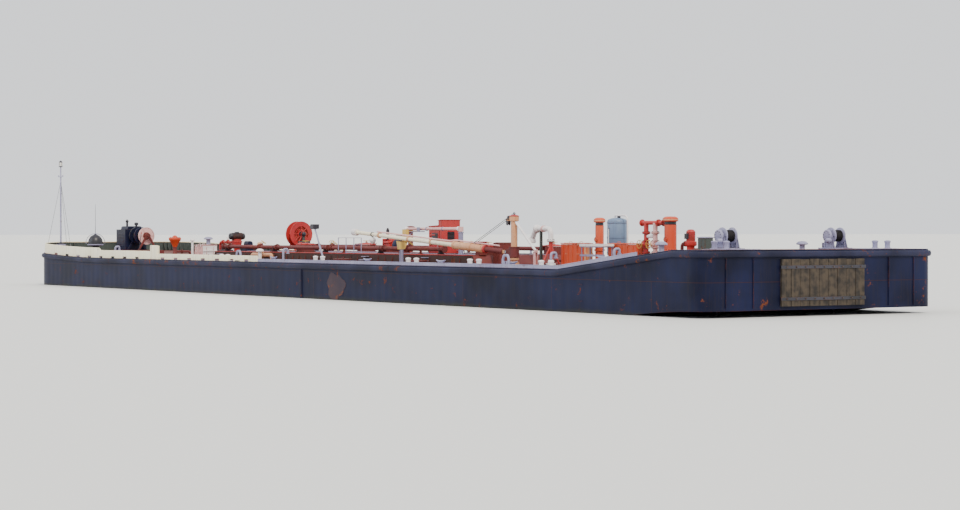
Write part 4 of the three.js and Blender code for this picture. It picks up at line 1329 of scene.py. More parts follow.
@dataclass
class MooringBitts:
    """Pairs of cast posts on a doubling plate along each side, with rolled heads, and kevels between them."""

    stations: Sequence[float] = (-25500, -15600, -6400, 2720, 10520, 15160, 20050)
    kevels: Sequence[float] = (-21500, -10600, -1500, 6900, 12700, 17800, 23600)
    spacing: float = 640.0
    inset: float = 240.0
    width: float = 380.0
    plate: float = 20.0
    overhang: float = 700.0

    @staticmethod
    def post(shape: Shape, x: float, y: float, z: float) -> None:
        """Adds one post to a piece, at a point of the deck."""
        r, h = 95, 260
        base = [(0, 0), (r * 1.7, 0), (r * 1.7, 18), (r * 1.08, 26), (r, 60), (r, h - 70)]
        head = [(r * 1.22, h - 20), (r * 1.22, h + 4), (r * 1.05, h + 22), (r * 0.5, h + 36), (0, h + 40)]
        shape.lathe([*base, *head], (x, y, z))

    def kevel(self, shape: Shape, x: float, y: float, z: float) -> None:
        """Adds a two-horned kevel to a piece, at a point of the deck."""
        shape.box(x - 210, x + 210, y - 80, y + 80, z - 12, z + 10)
        for s in (-1, 1):
            shape.rod((x + s * 110, y, z), (x + s * 110, y, z + 150), 46, 40)
            horn = [(x + s * 60, y, z + 160), (x + s * 200, y, z + 172), (x + s * 330, y, z + 215)]
            shape.tube(horn, [44, 40, 22], 12)
        shape.rod((x - 110, y, z + 160), (x + 110, y, z + 160), 44)

    def build(self) -> None:
        """Builds both sides' plates, posts and kevels."""
        for name, hand in (("bitts_port", -1), ("bitts_starboard", 1)):
            y = hand * (SIDE - self.inset - self.width / 2)
            knots = with_sheer(self.stations[0] - self.overhang, self.stations[-1] + self.overhang)
            under = [(x, deck_z(x) + GAP) for x in knots]
            over = [(x, z + self.plate) for x, z in reversed(under)]
            side = Shape(f"{name}_posts", Coat.WHITE)
            for x in self.stations:
                for at in (x - self.spacing / 2, x + self.spacing / 2):
                    self.post(side, at, y, deck_z(at) + self.plate * 0.6)
            side.use(Coat.GREY).prism([*under, *over], "xz", y - self.width / 2, y + self.width / 2)
            for x in self.kevels:
                self.kevel(side, x, y, deck_z(x) + self.plate)
            side.make(replaces=(name,), bevel=4)


@dataclass
class DeckEdge:
    """The flat coaming bar along the open deck edge, with chocks where the wires lead over it."""

    start: float = -2350.0
    stop: float = 26100.0
    height: float = 120.0
    inset: float = 70.0
    chocks: Sequence[float] = (-4400, 17800)

    def build(self) -> None:
        """Builds the bar on both sides and the chocks on it."""
        bar = Shape("deck_edge_bar", Coat.GREY)
        knots = with_sheer(self.start, self.stop)
        for hand in (-1, 1):
            y = hand * (SIDE - self.inset)
            over = [(x, deck_z(x) + self.height) for x in reversed(knots)]
            bar.prism([*((x, deck_z(x) + 1) for x in knots), *over], "xz", y - 8, y + 8)
            bar.tube([(x, y, z) for x, z in over], 17, 8)
            for x in self.chocks:
                z, level = deck_z(x), y - hand * 70
                bar.box(x - 240, x + 240, level - 80, level + 80, z + 4, z + 44)
                for s in (-1, 1):
                    horn = ((190, 30), (210, 300), (120, 470), (40, 470))
                    bar.tube(rounded_path([(x + s * r, level, z + h) for r, h in horn], 90), 50, 12)
                    bar.rod((x + s * 105, level, z + 40), (x + s * 105, level, z + 260), 50)
        bar.make(bevel=3)


@dataclass
class PushPad:
    """Upright oak baulks on the stern plate, where the pushing boat bears, held by bolted steel straps."""

    side: float = 1900.0
    thickness: float = 100.0
    baulks: int = 9

    def build(self) -> None:
        """Builds the baulks, their straps and bolts."""
        face, low, high = HALF + GAP, TRANSOM_FOOT + 120, DEPTH + 430
        pitch = 2 * self.side / self.baulks
        pad = Shape("stern_pad_baulks", Coat.TIMBER)
        straps = Shape("stern_pad_straps", Coat.BLACK)
        for i in range(self.baulks):
            y = -self.side + pitch * i
            uneven = 7 * math.sin(2.4 * i)
            pad.box(face, face + self.thickness - 10 + uneven, y + 7, y + pitch - 7, low + 4,
                    high - 6 + uneven)
            for z in (low + 260, high - 280):
                straps.stud((face + self.thickness + 12, y + pitch / 2, z), AFT, 44)
        pad.make(replaces=("stern_pad",), bevel=9)
        for z in (low + 260, high - 280):
            straps.box(face + 60, face + self.thickness + 12, -self.side - 40, self.side + 40, z - 55, z + 55)
        straps.make(bevel=4)


# Trunk, hatches and cargo mains

HATCHES = ((-4500, -1650), (-4500, 1650), (11150, -1650), (11150, 1650))
LOCKER_Z = deck_z(-18980) + GAP


@dataclass
class Trunk:
    """The low expansion trunk: sloped ends, flat-bar ribs along its sides, treads along its top."""

    end: float = 12000.0
    side: float = 2800.0
    height: float = 400.0
    slope: float = 260.0
    ribs: int = 39
    rib_spacing: float = 600.0
    tread: tuple[float, float] = (720.0, 1160.0)
    treads: int = 92
    tread_spacing: float = 250.0

    def build(self) -> None:
        """Builds the plating, its ribs and edge bars, and the two treaded walkways."""
        plating = Shape("trunk_plating", Coat.OXIDE)
        top = DEPTH + self.height
        corners = ((-self.end, DECK), (self.end, DECK), (self.end - self.slope, top),
                   (-self.end + self.slope, top))
        plating.prism(corners, "xz", -self.side, self.side)
        plating.make(replaces=("cargo_trunk",), bevel=26)
        ribs = Shape("trunk_ribs", Coat.OXIDE)
        for hand in (-1, 1):
            near, far = hand * (self.side - 4), hand * (self.side + 55)
            profile = ((near, DECK), (far, DECK), (far, DECK + 60), (hand * self.side, top - 40),
                       (near, top - 40))
            ribs.prism(profile, "yz", -self.end + 590, -self.end + 602)
        ribs.make(bevel=2, row=(self.ribs, (self.rib_spacing, 0, 0)))
        edge = Shape("trunk_edge_bars", Coat.RED)
        for hand in (-1, 1):
            y = hand * (self.side - 6)
            edge.rod((-self.end + self.slope, y, top - 6), (self.end - self.slope, y, top - 6), 17, sides=8)
            for x in (-self.end + 120, self.end - 120):
                edge.rod((x, hand * 900, DECK + 210), (x, hand * 1400, DECK + 210), 15, sides=8)
        edge.make(bevel=0)
        low, high = self.tread
        ends = self.end - self.slope - 200
        walk = Shape("trunk_walkways", Coat.GREY)
        bars = Shape("trunk_treads", Coat.GREY)
        for hand in (-1, 1):
            y0, y1 = sorted((hand * low, hand * high))
            walk.box(-ends, ends, y0, y1, TRUNK_TOP, TRUNK_TOP + 8)
            bars.box(-ends + 60, -ends + 78, y0 + 30, y1 - 30, TRUNK_TOP + 6, TRUNK_TOP + 18)
        walk.make(bevel=2)
        bars.make(bevel=2, row=(self.treads, (self.tread_spacing, 0, 0)))


@dataclass
class TankHatch:
    """A round tank hatch: coaming with lugs, and a domed lid with dogs and a handwheel, hinged inboard."""

    number: int
    x: float
    y: float
    radius: float = 430.0
    wall: float = 60.0
    height: float = 330.0
    clear: float = 12.0
    lid: float = 45.0
    rim: float = 25.0
    dogs: Sequence[float] = (-70, -35, 0, 35, 70)

    def build(self) -> None:
        """Builds the coaming and its lid."""
        r, h = self.radius, self.height
        inboard = -math.copysign(1, self.y)
        axis_y, axis_z = inboard * (r + 75), h + self.clear + self.lid / 2
        at = (self.x, self.y, TRUNK_TOP)
        low = Shape(f"tank_hatch_coaming_{self.number}", Coat.OXIDE, at)
        low.ring((0, 0, h / 2), UP, r, r - self.wall, h, 40)
        low.rod((0, 0, 0), (0, 0, 30), r - 4, sides=40)
        low.ring((0, 0, 12), UP, r + 60, r - 10, 24, 40)
        low.stud_ring((0, 0, 24), UP, r + 32, 20, 30)
        for mid in (-120, 120):
            low.box(mid - 40, mid + 40, inboard * (r - 14), inboard * (r + 85), h - 140, axis_z - 4)
            start = mid - 60 if mid < 0 else mid - 54
            low.rod((start, axis_y, axis_z), (start + 114, axis_y, axis_z), 28, sides=16)
        for turn in self.dogs:
            a = math.radians(turn)
            out = Vector((math.sin(a), -inboard * math.cos(a), 0))
            low.rod(out * (r - 6) + Vector((0, 0, h - 110)), out * (r + 42) + Vector((0, 0, h - 110)), 20)
        low.make(replaces=(f"hatch_coaming_{self.number}",), bevel=4)

        body = f"hatch_lid_{self.number}"
        lid = Shape(f"tank_hatch_lid_{self.number}", Coat.RED, at)
        z = h + self.clear
        lid.lathe([(0, z), (r + self.rim, z), (r + self.rim, z + self.lid), (r * 0.8, z + self.lid + 20),
                   (r * 0.4, z + self.lid + 42), (0, z + self.lid + 50)], sides=40)
        lid.box(-46, 46, 0, axis_y, z + 6, axis_z + 18)
        lid.rod((-54, axis_y, axis_z), (54, axis_y, axis_z), 28, sides=16)
        for turn in self.dogs:
            a = math.radians(turn)
            out = Vector((math.sin(a), -inboard * math.cos(a), 0))
            foot = out * (r + self.rim + 14) + Vector((0, 0, z + 2))
            lid.rod(foot, foot + Vector((0, 0, 92)), 13)
            lid.rod(foot + Vector((0, 0, 60)), foot + Vector((0, 0, 84)), 26, sides=8)
        top = z + self.lid + 40
        lid.use(Coat.ZINC).rod((0, 0, top), (0, 0, top + 110), 22)
        lid.use(Coat.YELLOW).wheel((0, 0, top + 96), UP, 150, 13)
        lid.use(Coat.RED).lathe([(0, 0), (78, 0), (78, 40), (60, 58), (0, 60)],
                                (-210, -inboard * 140, top - 26))
        lid.make(body, (body,), bevel=4)


@dataclass
class CargoMain:
    """A cargo main on saddles along the trunk, in flanged lengths, with block valves and drop branches."""

    name: str
    y: float
    start: float
    stop: float
    valves: Sequence[float]
    axis: float = 230.0
    radius: float = 90.0
    bays: int = 4

    def build(self) -> None:
        """Builds the pipe, its saddles, flanges, valves and branches."""
        z = TRUNK_TOP + self.axis
        main = Shape(f"{self.name}_pipe", Coat.OXIDE)
        main.rod((self.start, self.y, z), (self.stop, self.y, z), self.radius, sides=20)
        for x, out in ((self.start, -1), (self.stop, 1)):
            main.rod((x - out * 30, self.y, z), (x, self.y, z), self.radius * 1.65, sides=24)
            main.stud_ring((x, self.y, z), (out, 0, 0), self.radius * 1.32, 8, 32)
        length = self.stop - self.start
        for i in range(self.bays + 1):
            x = self.start + 300 + (length - 600) * i / self.bays
            main.flange((x + 290, self.y, z), AFT, 150)
            main.use(Coat.SCALE)
            main.prism(
                ((self.y - 150, TRUNK_TOP), (self.y + 150, TRUNK_TOP), (self.y + 96, z), (self.y - 96, z)),
                "yz", x - 14, x + 14,
            )
            main.box(x - 70, x + 70, self.y - 160, self.y + 160, TRUNK_TOP, TRUNK_TOP + 16)
            main.ring((x, self.y, z), AFT, self.radius + 14, self.radius - 6, 34, 24)
            for along, across in ((-45, -130), (-45, 130), (45, -130), (45, 130)):
                main.stud((x + along, self.y + across, TRUNK_TOP + 16), UP, 26)
            main.use(Coat.OXIDE)
        inboard = -math.copysign(1, self.y)
        for x in self.valves:
            main.gate_valve((x, self.y, z), AFT, (0.5, 0.5 * inboard, 1), self.radius * 0.86)
            drop = self.y + inboard * 420
            corners = ((x + 420, self.y, z), (x + 420, drop, z), (x + 420, drop, TRUNK_TOP + 4))
            main.pipe(corners, 58, 2.4)
            main.rod((x + 420, drop, TRUNK_TOP), (x + 420, drop, TRUNK_TOP + 24), 112, sides=20)
            main.stud_ring((x + 420, drop, TRUNK_TOP + 24), UP, 88, 6, 26)
        main.make(replaces=(self.name,), bevel=4)


# Bow gear


@dataclass
class Windlass:
    """The bow windlass, set fore and aft: its engine forward, then the drum, whose pink flange faces aft."""

    x: float = -26800.0
    axis: float = 880.0

    def build(self) -> None:
        """Builds the bed, the engine with its louvres, the bearings and the drum."""
        z, h = deck_z(self.x - 1850) + GAP, self.axis
        bed = Shape("windlass_bed", Coat.OXIDE, (self.x, 0, z))
        bed.footing(-1850, 1250, -900, 900, 90)
        bed.make(bevel=6)
        f = Shape("windlass_engine", Coat.ENGINE, (self.x, 0, z), -90)
        f.box(-640, 640, -1740, -530, 88, 1240)
        f.prism(((-470, 1236), (440, 1236), (390, 1390), (320, 1425), (-350, 1425), (-420, 1390)), "xz",
                -1600, -700)
        for y, out in ((-1740, -1), (-530, 1)):
            for x in (-590, 20):
                f.box(x, x + 570, y - 6 * out, y + 16 * out, 200, 1150)
        for x in (-640, 640):
            for i in range(9):
                tilt = math.copysign(30, x)
                slat = ((x, 330 + 80 * i), (x + tilt, 330 + 80 * i), (x, 372 + 80 * i))
                f.prism(slat, "xz", -1600, -700)
        f.use(Coat.BLACK)
        for i in range(13):
            f.box(-600 + 92 * i, -560 + 92 * i, -1764, -1738, 220, 1160)
        f.lathe([(0, 0), (58, 0), (58, 250), (92, 262), (92, 330), (58, 342), (46, 400), (0, 402)],
                (250, -1150, 1395))
        f.lathe([(0, 0), (60, 0), (60, 60), (110, 70), (118, 170), (70, 210), (0, 215)], (-240, -1000, 1420))
        f.use(Coat.GREY).lathe([(0, 88), (250, 88), (250, 700), (200, 860), (60, 930), (0, 935)],
                               (-330, -1500, 0))
        for y, coat in ((-430, Coat.ENGINE), (1000, Coat.OXIDE)):
            f.use(coat)
            for s in (-1, 1):
                foot = ((s * 590, 84), (s * 490, 84), (s * 20, h - 60), (s * 120, h + 40))
                f.prism(foot, "xz", y + 20, y + 70)
                f.stud((s * 540, y + 110, 90), UP, 44)
            f.box(-600, 600, y - 30, y + 130, 80, 104)
            f.box(-170, 170, y - 10, y + 100, h - 170, h - 70)
            f.rod((0, y - 26, h), (0, y + 116, h), 150, sides=28)
            f.stud_ring((0, y + 116, h), ACROSS, 118, 8, 30)
        f.use(Coat.BLACK).ring((0, -270, h), ACROSS, 516, 500, 66, 24, (-65, 115))
        f.rod((560, 1130, 90), (430, 1130, 1000), 18)
        f.use(Coat.RED).rod((430, 1130, 1000), (420, 1130, 1090), 28, 22)
        f.make(replaces=("windlass_frame",), bevel=6)

        d = Shape("windlass_wheels", Coat.OXIDE, (self.x, 0, z), -90)
        d.rod((0, -440, h), (0, 1180, h), 58, sides=20)
        d.rod((0, -240, h), (0, 860, h), 226, sides=28)
        for y, coat in ((-300, Coat.ENGINE), (260, Coat.ENGINE), (840, Coat.PINK)):
            d.use(coat).rod((0, y + 8, h), (0, y + 52, h), 470, sides=44)
            d.ring((0, y + 30, h), ACROSS, 480, 430, 60, 44)
            d.spokes(y + 52, h, (200, 430), 6, 16, 12)
            d.use(Coat.OXIDE).rod((0, y - 4, h), (0, y + 64, h), 205, sides=32)
        d.make("windlass_drum", ("windlass_drum",), bevel=4)
        for name, x, width in (("windlass_wire_fore", 10, 500), ("windlass_wire_aft", 580, 520)):
            at = (self.x + x, 0, z + h)
            Winding(name, Coat.WIRE, "windlass_drum", at, width, core=226, thickness=34, layers=3,
                    turn=-90).make()


@dataclass
class BowGear:
    """What stands on the foredeck besides the windlass: a staff with its lantern, a vent and a valve."""

    staff: tuple[float, float] = (-28700.0, -3900.0)
    vent: tuple[float, float] = (-25190.0, -3350.0)
    valve: tuple[float, float] = (-22260.0, 0.0)

    def build(self) -> None:
        """Builds the three."""
        s = Shape.on_deck("light_staff_post", Coat.GREY, *self.staff, 240)
        s.box(-238, 238, -198, 198, 0, 410)
        s.use(Coat.BLACK).lathe([(0, 405), (120, 405), (120, 470), (70, 520), (0, 522)])
        s.use(Coat.GREY).rod((0, 0, 400), (0, 0, 4700), 48, 36, 16)
        for i in range(12):
            h = 800 + 300 * i
            s.rod((-130, 0, h), (130, 0, h), 11, sides=8)
        s.rod((-300, 0, 4150), (300, 0, 4150), 18, sides=10)
        for x in (-290, 290):
            s.lathe([(0, 0), (34, 0), (34, 70), (22, 84), (0, 86)], (x, 0, 4150))
        s.use(Coat.BLACK).lathe([(0, 4690), (108, 4690), (108, 4720), (60, 4736), (0, 4738)])
        s.use(Coat.LENS).lathe([(0, 4736), (72, 4736), (84, 4800), (84, 4900), (70, 4950), (0, 4952)])
        s.use(Coat.BLACK).lathe([(0, 4950), (98, 4950), (90, 4975), (30, 5040), (0, 5045)])
        for i in range(6):
            a = math.tau * i / 6
            s.rod((93 * math.cos(a), 93 * math.sin(a), 4730), (93 * math.cos(a), 93 * math.sin(a), 4955), 6,
                  sides=6)
        for px, py in ((1500, 0), (-560, 620), (-560, -620)):
            s.use(Coat.WIRE).rod((px, py, -40), (0, 0, 3900), 9, sides=6)
            s.use(Coat.ZINC).rod((px * 0.97, py * 0.97, 75), (px * 0.88, py * 0.88, 430), 17, sides=8)
        s.make(replaces=("light_staff",), bevel=4)

        v = Shape.on_deck("bow_vent_cowl", Coat.BLACK, *self.vent, 360)
        v.lathe([(0, 0), (330, 0), (330, 60), (300, 90), (190, 130), (186, 470), (300, 490), (425, 520)],
                sides=36)
        v.use(Coat.GREY).lathe([(0, 515), (436, 515), (444, 545), (436, 575), (0, 577)], sides=36)
        v.use(Coat.BLACK).lathe(
            [(0, 570), (400, 570), (396, 700), (356, 850), (280, 970), (180, 1050), (80, 1090), (50, 1130),
             (0, 1135)], sides=36,
        )
        # a guard hoop square to the quarter
        v.use(Coat.GREY).ring((0, 0, 640), (0.9, -0.42, 0), 520, 492, 44, 32, (-95, 95))
        v.stud_ring((0, 0, 60), UP, 296, 12, 36)
        v.use(Coat.ZINC).rod((0, 0, 1125), (0, 0, 2750), 16, 9)
        v.make(replaces=("bow_vent",), bevel=3)

        p = Shape.on_deck("fore_valve_pedestal", Coat.ORANGE, *self.valve, 290)
        p.use(Coat.OXIDE).lathe([(0, 0), (250, 0), (250, 46), (150, 66), (112, 130), (100, 500), (0, 505)],
                                sides=32)
        p.use(Coat.ORANGE).lathe(
            [(0, 495), (112, 500), (150, 600), (220, 740), (300, 850), (330, 900), (334, 940), (330, 1010),
             (306, 1022), (150, 1030), (130, 1070), (66, 1128), (0, 1140)], sides=36,
        )
        p.stud_ring((0, 0, 46), UP, 210, 10, 34)
        p.stud_ring((0, 0, 1022), UP, 250, 12, 30)
        p.use(Coat.OXIDE).pipe([(0, 90, 260), (0, 900, 260), (0, 900, 4)], 60)
        p.flange((0, 420, 260), ACROSS, 108)
        p.make(replaces=("fore_valve",), bevel=3)


# Boxes with hinged lids


@dataclass
class LiddedBox:
    """A ribbed steel box with an open top, and a lid hinged along its starboard edge."""

    name: str
    x: float
    z: float
    length: float
    width: float
    height: float
    coat: Coat
    trim: Coat
    wall: float = 30.0
    ribs: int = 5
    filling: Coat = Coat.ENGINE

    def build(self) -> None:
        """Builds the box with what stands in it, and the lid."""
        l, w, h, t = self.length / 2, self.width / 2, self.height, self.wall
        axis_y, axis_z = w + 45, h + 32
        hinges = [s * 0.55 * l for s in (-1, 1)]
        lugs = (-100, 100)
        box = Shape(f"{self.name}_box", self.coat, (self.x, 0, self.z))
        for x0, x1, y0, y1 in ((-l, l, -w, -w + t), (-l, l, w - t, w), (-l, t - l, t - w, w - t)):
            box.box(x0, x1, y0, y1, 0, h)
        box.use(self.trim).box(l - t, l + 1, -w - 1, w + 1, 0, h - 1)
        box.use(self.coat)
        box.box(-l + 2, l - 2, -w + 2, w - 2, 0, t)
        for i in range(self.ribs):
            x = -l + 2 * l * (i + 0.5) / self.ribs
            box.box(x - 9, x + 9, -w - 34, -w + 4, 40, h - 60)
            box.box(x - 9, x + 9, w - 4, w + 34, 40, h - 150)
        for y in (-0.5, 0.5):
            box.box(-l - 30, -l + 4, y * w - 9, y * w + 9, 40, h - 60)
            box.box(l - 4, l + 30, y * w - 9, y * w + 9, 40, h - 60)
        box.use(self.trim)
        box.box(-l - 44, l + 44, -w - 44, -w + 2, 0, 26)
        box.box(-l - 44, l + 44, w - 2, w + 44, 0, 26)
        box.box(l - 2, l + 44, -w, w, h * 0.52, h * 0.52 + 60)
        for x in (-0.5 * l, 0.5 * l):
            box.grip((x - 70, -w, h * 0.55), (x + 70, -w, h * 0.55), (0, -52, 0), 9)
        box.use(self.coat)
        for u in hinges:
            for s in lugs:
                box.box(u + s - 38, u + s + 38, w - 4, axis_y + 10, h - 120, axis_z - 2)
            for a in (-150, 56):
                box.rod((u + a, axis_y, axis_z), (u + a + 94, axis_y, axis_z), 22, sides=14)
        self.fill(box, l - t, w - t, h)
        box.make(replaces=(self.name,), bevel=4)

        lid = Shape(f"{self.name}_cover", self.coat, (self.x, 0, self.z))
        foot = h + 12
        lid.box(-l - 20, l + 20, -w - 20, w - 20, foot, foot + 34)
        notched = sorted(u + s for u in hinges for s in lugs)
        edges = [-l - 20, *(v for u in notched for v in (u - 52, u + 52)), l + 20]
        for x0, x1 in zip(edges[::2], edges[1::2]):
            lid.box(x0, x1, w - 24, w + 10, foot, foot + 34)
        for i in range(self.ribs):
            x = -l + 2 * l * (i + 0.5) / self.ribs
            lid.box(x - 22, x + 22, -w + 30, w - 60, foot + 30, foot + 46)
        for u in hinges:
            lid.box(u - 36, u + 36, w - 60, axis_y, foot + 2, axis_z + 16)
            lid.rod((u - 44, axis_y, axis_z), (u + 44, axis_y, axis_z), 22, sides=14)
        lid.use(self.trim)
        for x in (-0.45 * l, 0.45 * l):
            lid.grip((x, -w + 90, foot + 30), (x, -w + 230, foot + 30), (0, 0, 62), 10)
            lid.box(x - 30, x + 30, -w - 30, -w - 16, foot - 60, foot + 34)
        lid.make(f"{self.name}_lid", (f"{self.name}_lid",), bevel=4)

    def fill(self, box: Shape, l: float, w: float, h: float) -> None:
        """Stands machinery or cans in the box.

        Args:
            box: The piece.
            l: Half the length inside.
            w: Half the width inside.
            h: The height inside.
        """
        box.use(self.filling)
        tall = h * 0.55
        box.box(-l * 0.62, l * 0.3, -w * 0.45, w * 0.45, 60, tall)
        box.rod((-l * 0.5, 0, tall + 40), (l * 0.2, 0, tall + 40), w * 0.3, sides=20)
        box.rod((l * 0.34, 0, tall * 0.7), (l * 0.62, 0, tall * 0.7), w * 0.34, sides=24)
        for i in range(4):
            box.rod((-l * 0.5 + l * 0.22 * i, -w * 0.5, tall * 0.8), (-l * 0.5 + l * 0.22 * i, -w * 0.7, 60),
                    w * 0.07)
        box.use(self.coat)


# Pumps, hose reel and power house


@dataclass
class ForePump:
    """The upright pump ahead of the trunk: a turned body under a finned motor, with a valved discharge, a
    strainer box beneath it and the blue driving engine behind."""

    x: float = -14880.0

    def build(self) -> None:
        """Builds the pump, its engine and the capped vent abaft it."""
        p = Shape("fore_pump_unit", Coat.RED, (self.x, 0, DECK))
        p.lathe([(0, 0), (230, 0), (230, 46), (150, 70), (128, 110), (150, 500), (215, 640), (258, 760),
                 (258, 820), (278, 824), (278, 862), (258, 866), (258, 900), (0, 900)])
        p.stud_ring((0, 0, 46), UP, 196, 8, 36)
        p.stud_ring((0, 0, 862), UP, 268, 12, 22)
        p.box(-110, 110, -200, 200, 890, 1010)
        p.pipe([(-100, 0, 820), (-1900, 0, 820), (-1900, 0, 4)], 70, 2.5)
        for x in (-420, -1560):
            p.flange((x, 0, 820), AFT, 118)
        p.gate_valve((-1000, 0, 820), AFT, UP, 60, Coat.PINK)
        p.lathe([(0, 0), (130, 0), (130, 26), (74, 30), (0, 32)], (-1900, 0, 0))
        p.use(Coat.BLACK)
        p.lathe([(0, -430), (110, -430), (160, -396), (168, -300), (168, 300), (160, 396), (110, 430),
                 (0, 430)], (0, 0, 1120), ACROSS, 32)
        for i in range(13):
            p.ring((0, -270 + 45 * i, 1120), ACROSS, 186, 160, 13)
        p.box(-80, 80, -95, 95, 1270, 1352)
        p.box(-1750, -900, -240, 240, 4, 430)
        p.use(Coat.ENGINE)
        p.footing(1000, 1560, -300, 300, 70)
        p.box(1030, 1530, -270, 270, 60, 620)
        p.rod((1050, 0, 740), (1510, 0, 740), 150, sides=24)
        p.use(Coat.TAN).lathe([(0, 0), (90, 0), (86, 640), (150, 660), (150, 760), (90, 830), (0, 835)],
                              (2560, 0, 0))
        p.make(replaces=("fore_pump",), bevel=4)


@dataclass
class HoseReel:
    """The cargo hose reel: trestles, a driving motor and a swivel, and two open wheels full of red hose."""

    x: float = -8190.0
    axis: float = 840.0
    rim: float = 620.0
    stand: float = 360.0
    wheel: float = 215.0

    def build(self) -> None:
        """Builds the stand, the wheels and the hose."""
        z = self.axis
        s = Shape("reel_trestles", Coat.RED, (self.x, 0, TRUNK_TOP), -90)
        for y in (-self.stand, self.stand):
            for x in (-430, 430):
                s.rod((x, y, 30), (0, y, z), 45, 38)
            s.rod((-240, y, 390), (240, y, 390), 26)
            s.rod((0, y - 30, z), (0, y + 30, z), 95, sides=24)
            s.box(-130, 130, y - 34, y + 34, z - 130, z - 80)
        for x in (-430, 430):
            s.box(x - 60, x + 60, -410, 410, 0, 14)
            s.box(x - 8, x + 8, -410, 410, 8, 60)
            s.box(x - 60, x + 60, -410, 410, 50, 62)
            for y in (-360, 0, 360):
                s.stud((x + 38, y, 14), UP, 30)
        s.use(Coat.BLACK).lathe([(0, 0), (96, 0), (104, 20), (104, 90), (60, 130), (0, 132)], (0, 436, z),
                                ACROSS)
        s.use(Coat.DRAB).box(-300, 300, 426, 590, 62, 500)
        s.lathe([(0, 0), (150, 0), (150, 60), (110, 90), (0, 92)], (-90, 590, 300), ACROSS)
        s.box(-60, 60, 436, 480, 480, z - 90)
        s.use(Coat.GREY).pipe([(0, -436, z), (0, -620, z), (0, -620, 120), (-500, -620, 120)], 52)
        s.flange((0, -520, z), ACROSS, 92)
        s.make(replaces=("reel_stand",), bevel=4)

        d = Shape("reel_wheels", Coat.RED, (self.x, 0, TRUNK_TOP + z), -90)
        d.rod((0, -230, 0), (0, 230, 0), 190, sides=28)
        d.rod((0, -430, 0), (0, 430, 0), 45, sides=20)
        for y in (-self.wheel, self.wheel):
            d.ring((0, y, 0), ACROSS, self.rim - 12, 380, 34, 48)
            d.tube(circle(Vector((0, y, 0)), Vector(ACROSS), self.rim - 20, 40), 24, 8, looped=True)
            d.use(Coat.BLACK).ring((0, y, 0), ACROSS, 130, 60, 50, 36)
            d.use(Coat.RED)
            d.spokes(y, 0, (130, 470), 8, 24, 20, 12)
        d.make("reel_drum", ("reel_drum",), bevel=3)
        Winding("reel_hose", Coat.HOSE, "reel_drum", (self.x, 0, TRUNK_TOP + z), width=384, core=188,
                thickness=96, layers=3, turn=-90).make()


@dataclass
class MidPump:
    """The engine-driven pump on the trunk: on one skid, a red engine with radiator and stack, and a blue
    pump."""

    x: float = 950.0

    def build(self) -> None:
        """Builds skid, engine, coupling guard, pump and discharge."""
        p = Shape("mid_pump_unit", Coat.RED, (self.x, 0, TRUNK_TOP))
        p.use(Coat.OXIDE)
        for y in (-360, 290):
            p.box(-700, 700, y, y + 70, 0, 90)
        for x in (-690, -300, 60, 560):
            p.box(x, x + 80, -350, 350, 10, 80)
        p.use(Coat.RED)
        p.box(-545, 10, -240, 240, 84, 430)
        p.box(-530, -10, -300, 300, 230, 400)
        p.box(-520, -20, -160, 160, 420, 560)
        p.rod((-500, 0, 560), (-40, 0, 560), 92, sides=20)
        for i in range(4):
            p.rod((-460 + 130 * i, -290, 470), (-460 + 130 * i, -160, 500), 34)
        p.rod((-480, -300, 470), (-40, -300, 470), 50, sides=16)
        p.box(-600, -560, -330, 330, 84, 640)
        p.use(Coat.BLACK)
        for i in range(10):
            p.box(-612, -556, -285 + 58 * i, -253 + 58 * i, 140, 590)
        p.lathe([(0, 0), (45, 0), (45, 210), (75, 220), (75, 460), (45, 470), (42, 530), (0, 532)],
                (-420, -150, 600))
        p.rod((-200, 190, 500), (-200, 190, 700), 95, sides=24)
        p.use(Coat.YELLOW).ring((45, 0, 340), AFT, 160, 140, 90, 20, (-120, 120))
        p.use(Coat.ENGINE)
        p.rod((0, 0, 340), (120, 0, 340), 60)
        p.lathe([(0, 90), (150, 90), (160, 130), (285, 180), (300, 260), (300, 420), (230, 500), (150, 540),
                 (150, 600), (190, 604), (190, 640), (0, 640)], (0, 0, 340), AFT, 32)
        p.stud_ring((640, 0, 340), AFT, 165, 8, 30)
        for x in (170, 430):
            p.box(x, x + 90, -230, 230, 84, 300)
        p.lathe([(0, 0), (110, 0), (110, 190), (160, 194), (160, 230), (0, 232)], (340, 0, 560))
        p.stud_ring((340, 0, 790), UP, 138, 8, 28)
        p.use(Coat.RED).pipe([(-300, 240, 300), (-300, 900, 300), (-300, 900, 4)], 75, 2.5)
        p.flange((-300, 520, 300), ACROSS, 125)
        p.make(replaces=("mid_pump",), bevel=4)


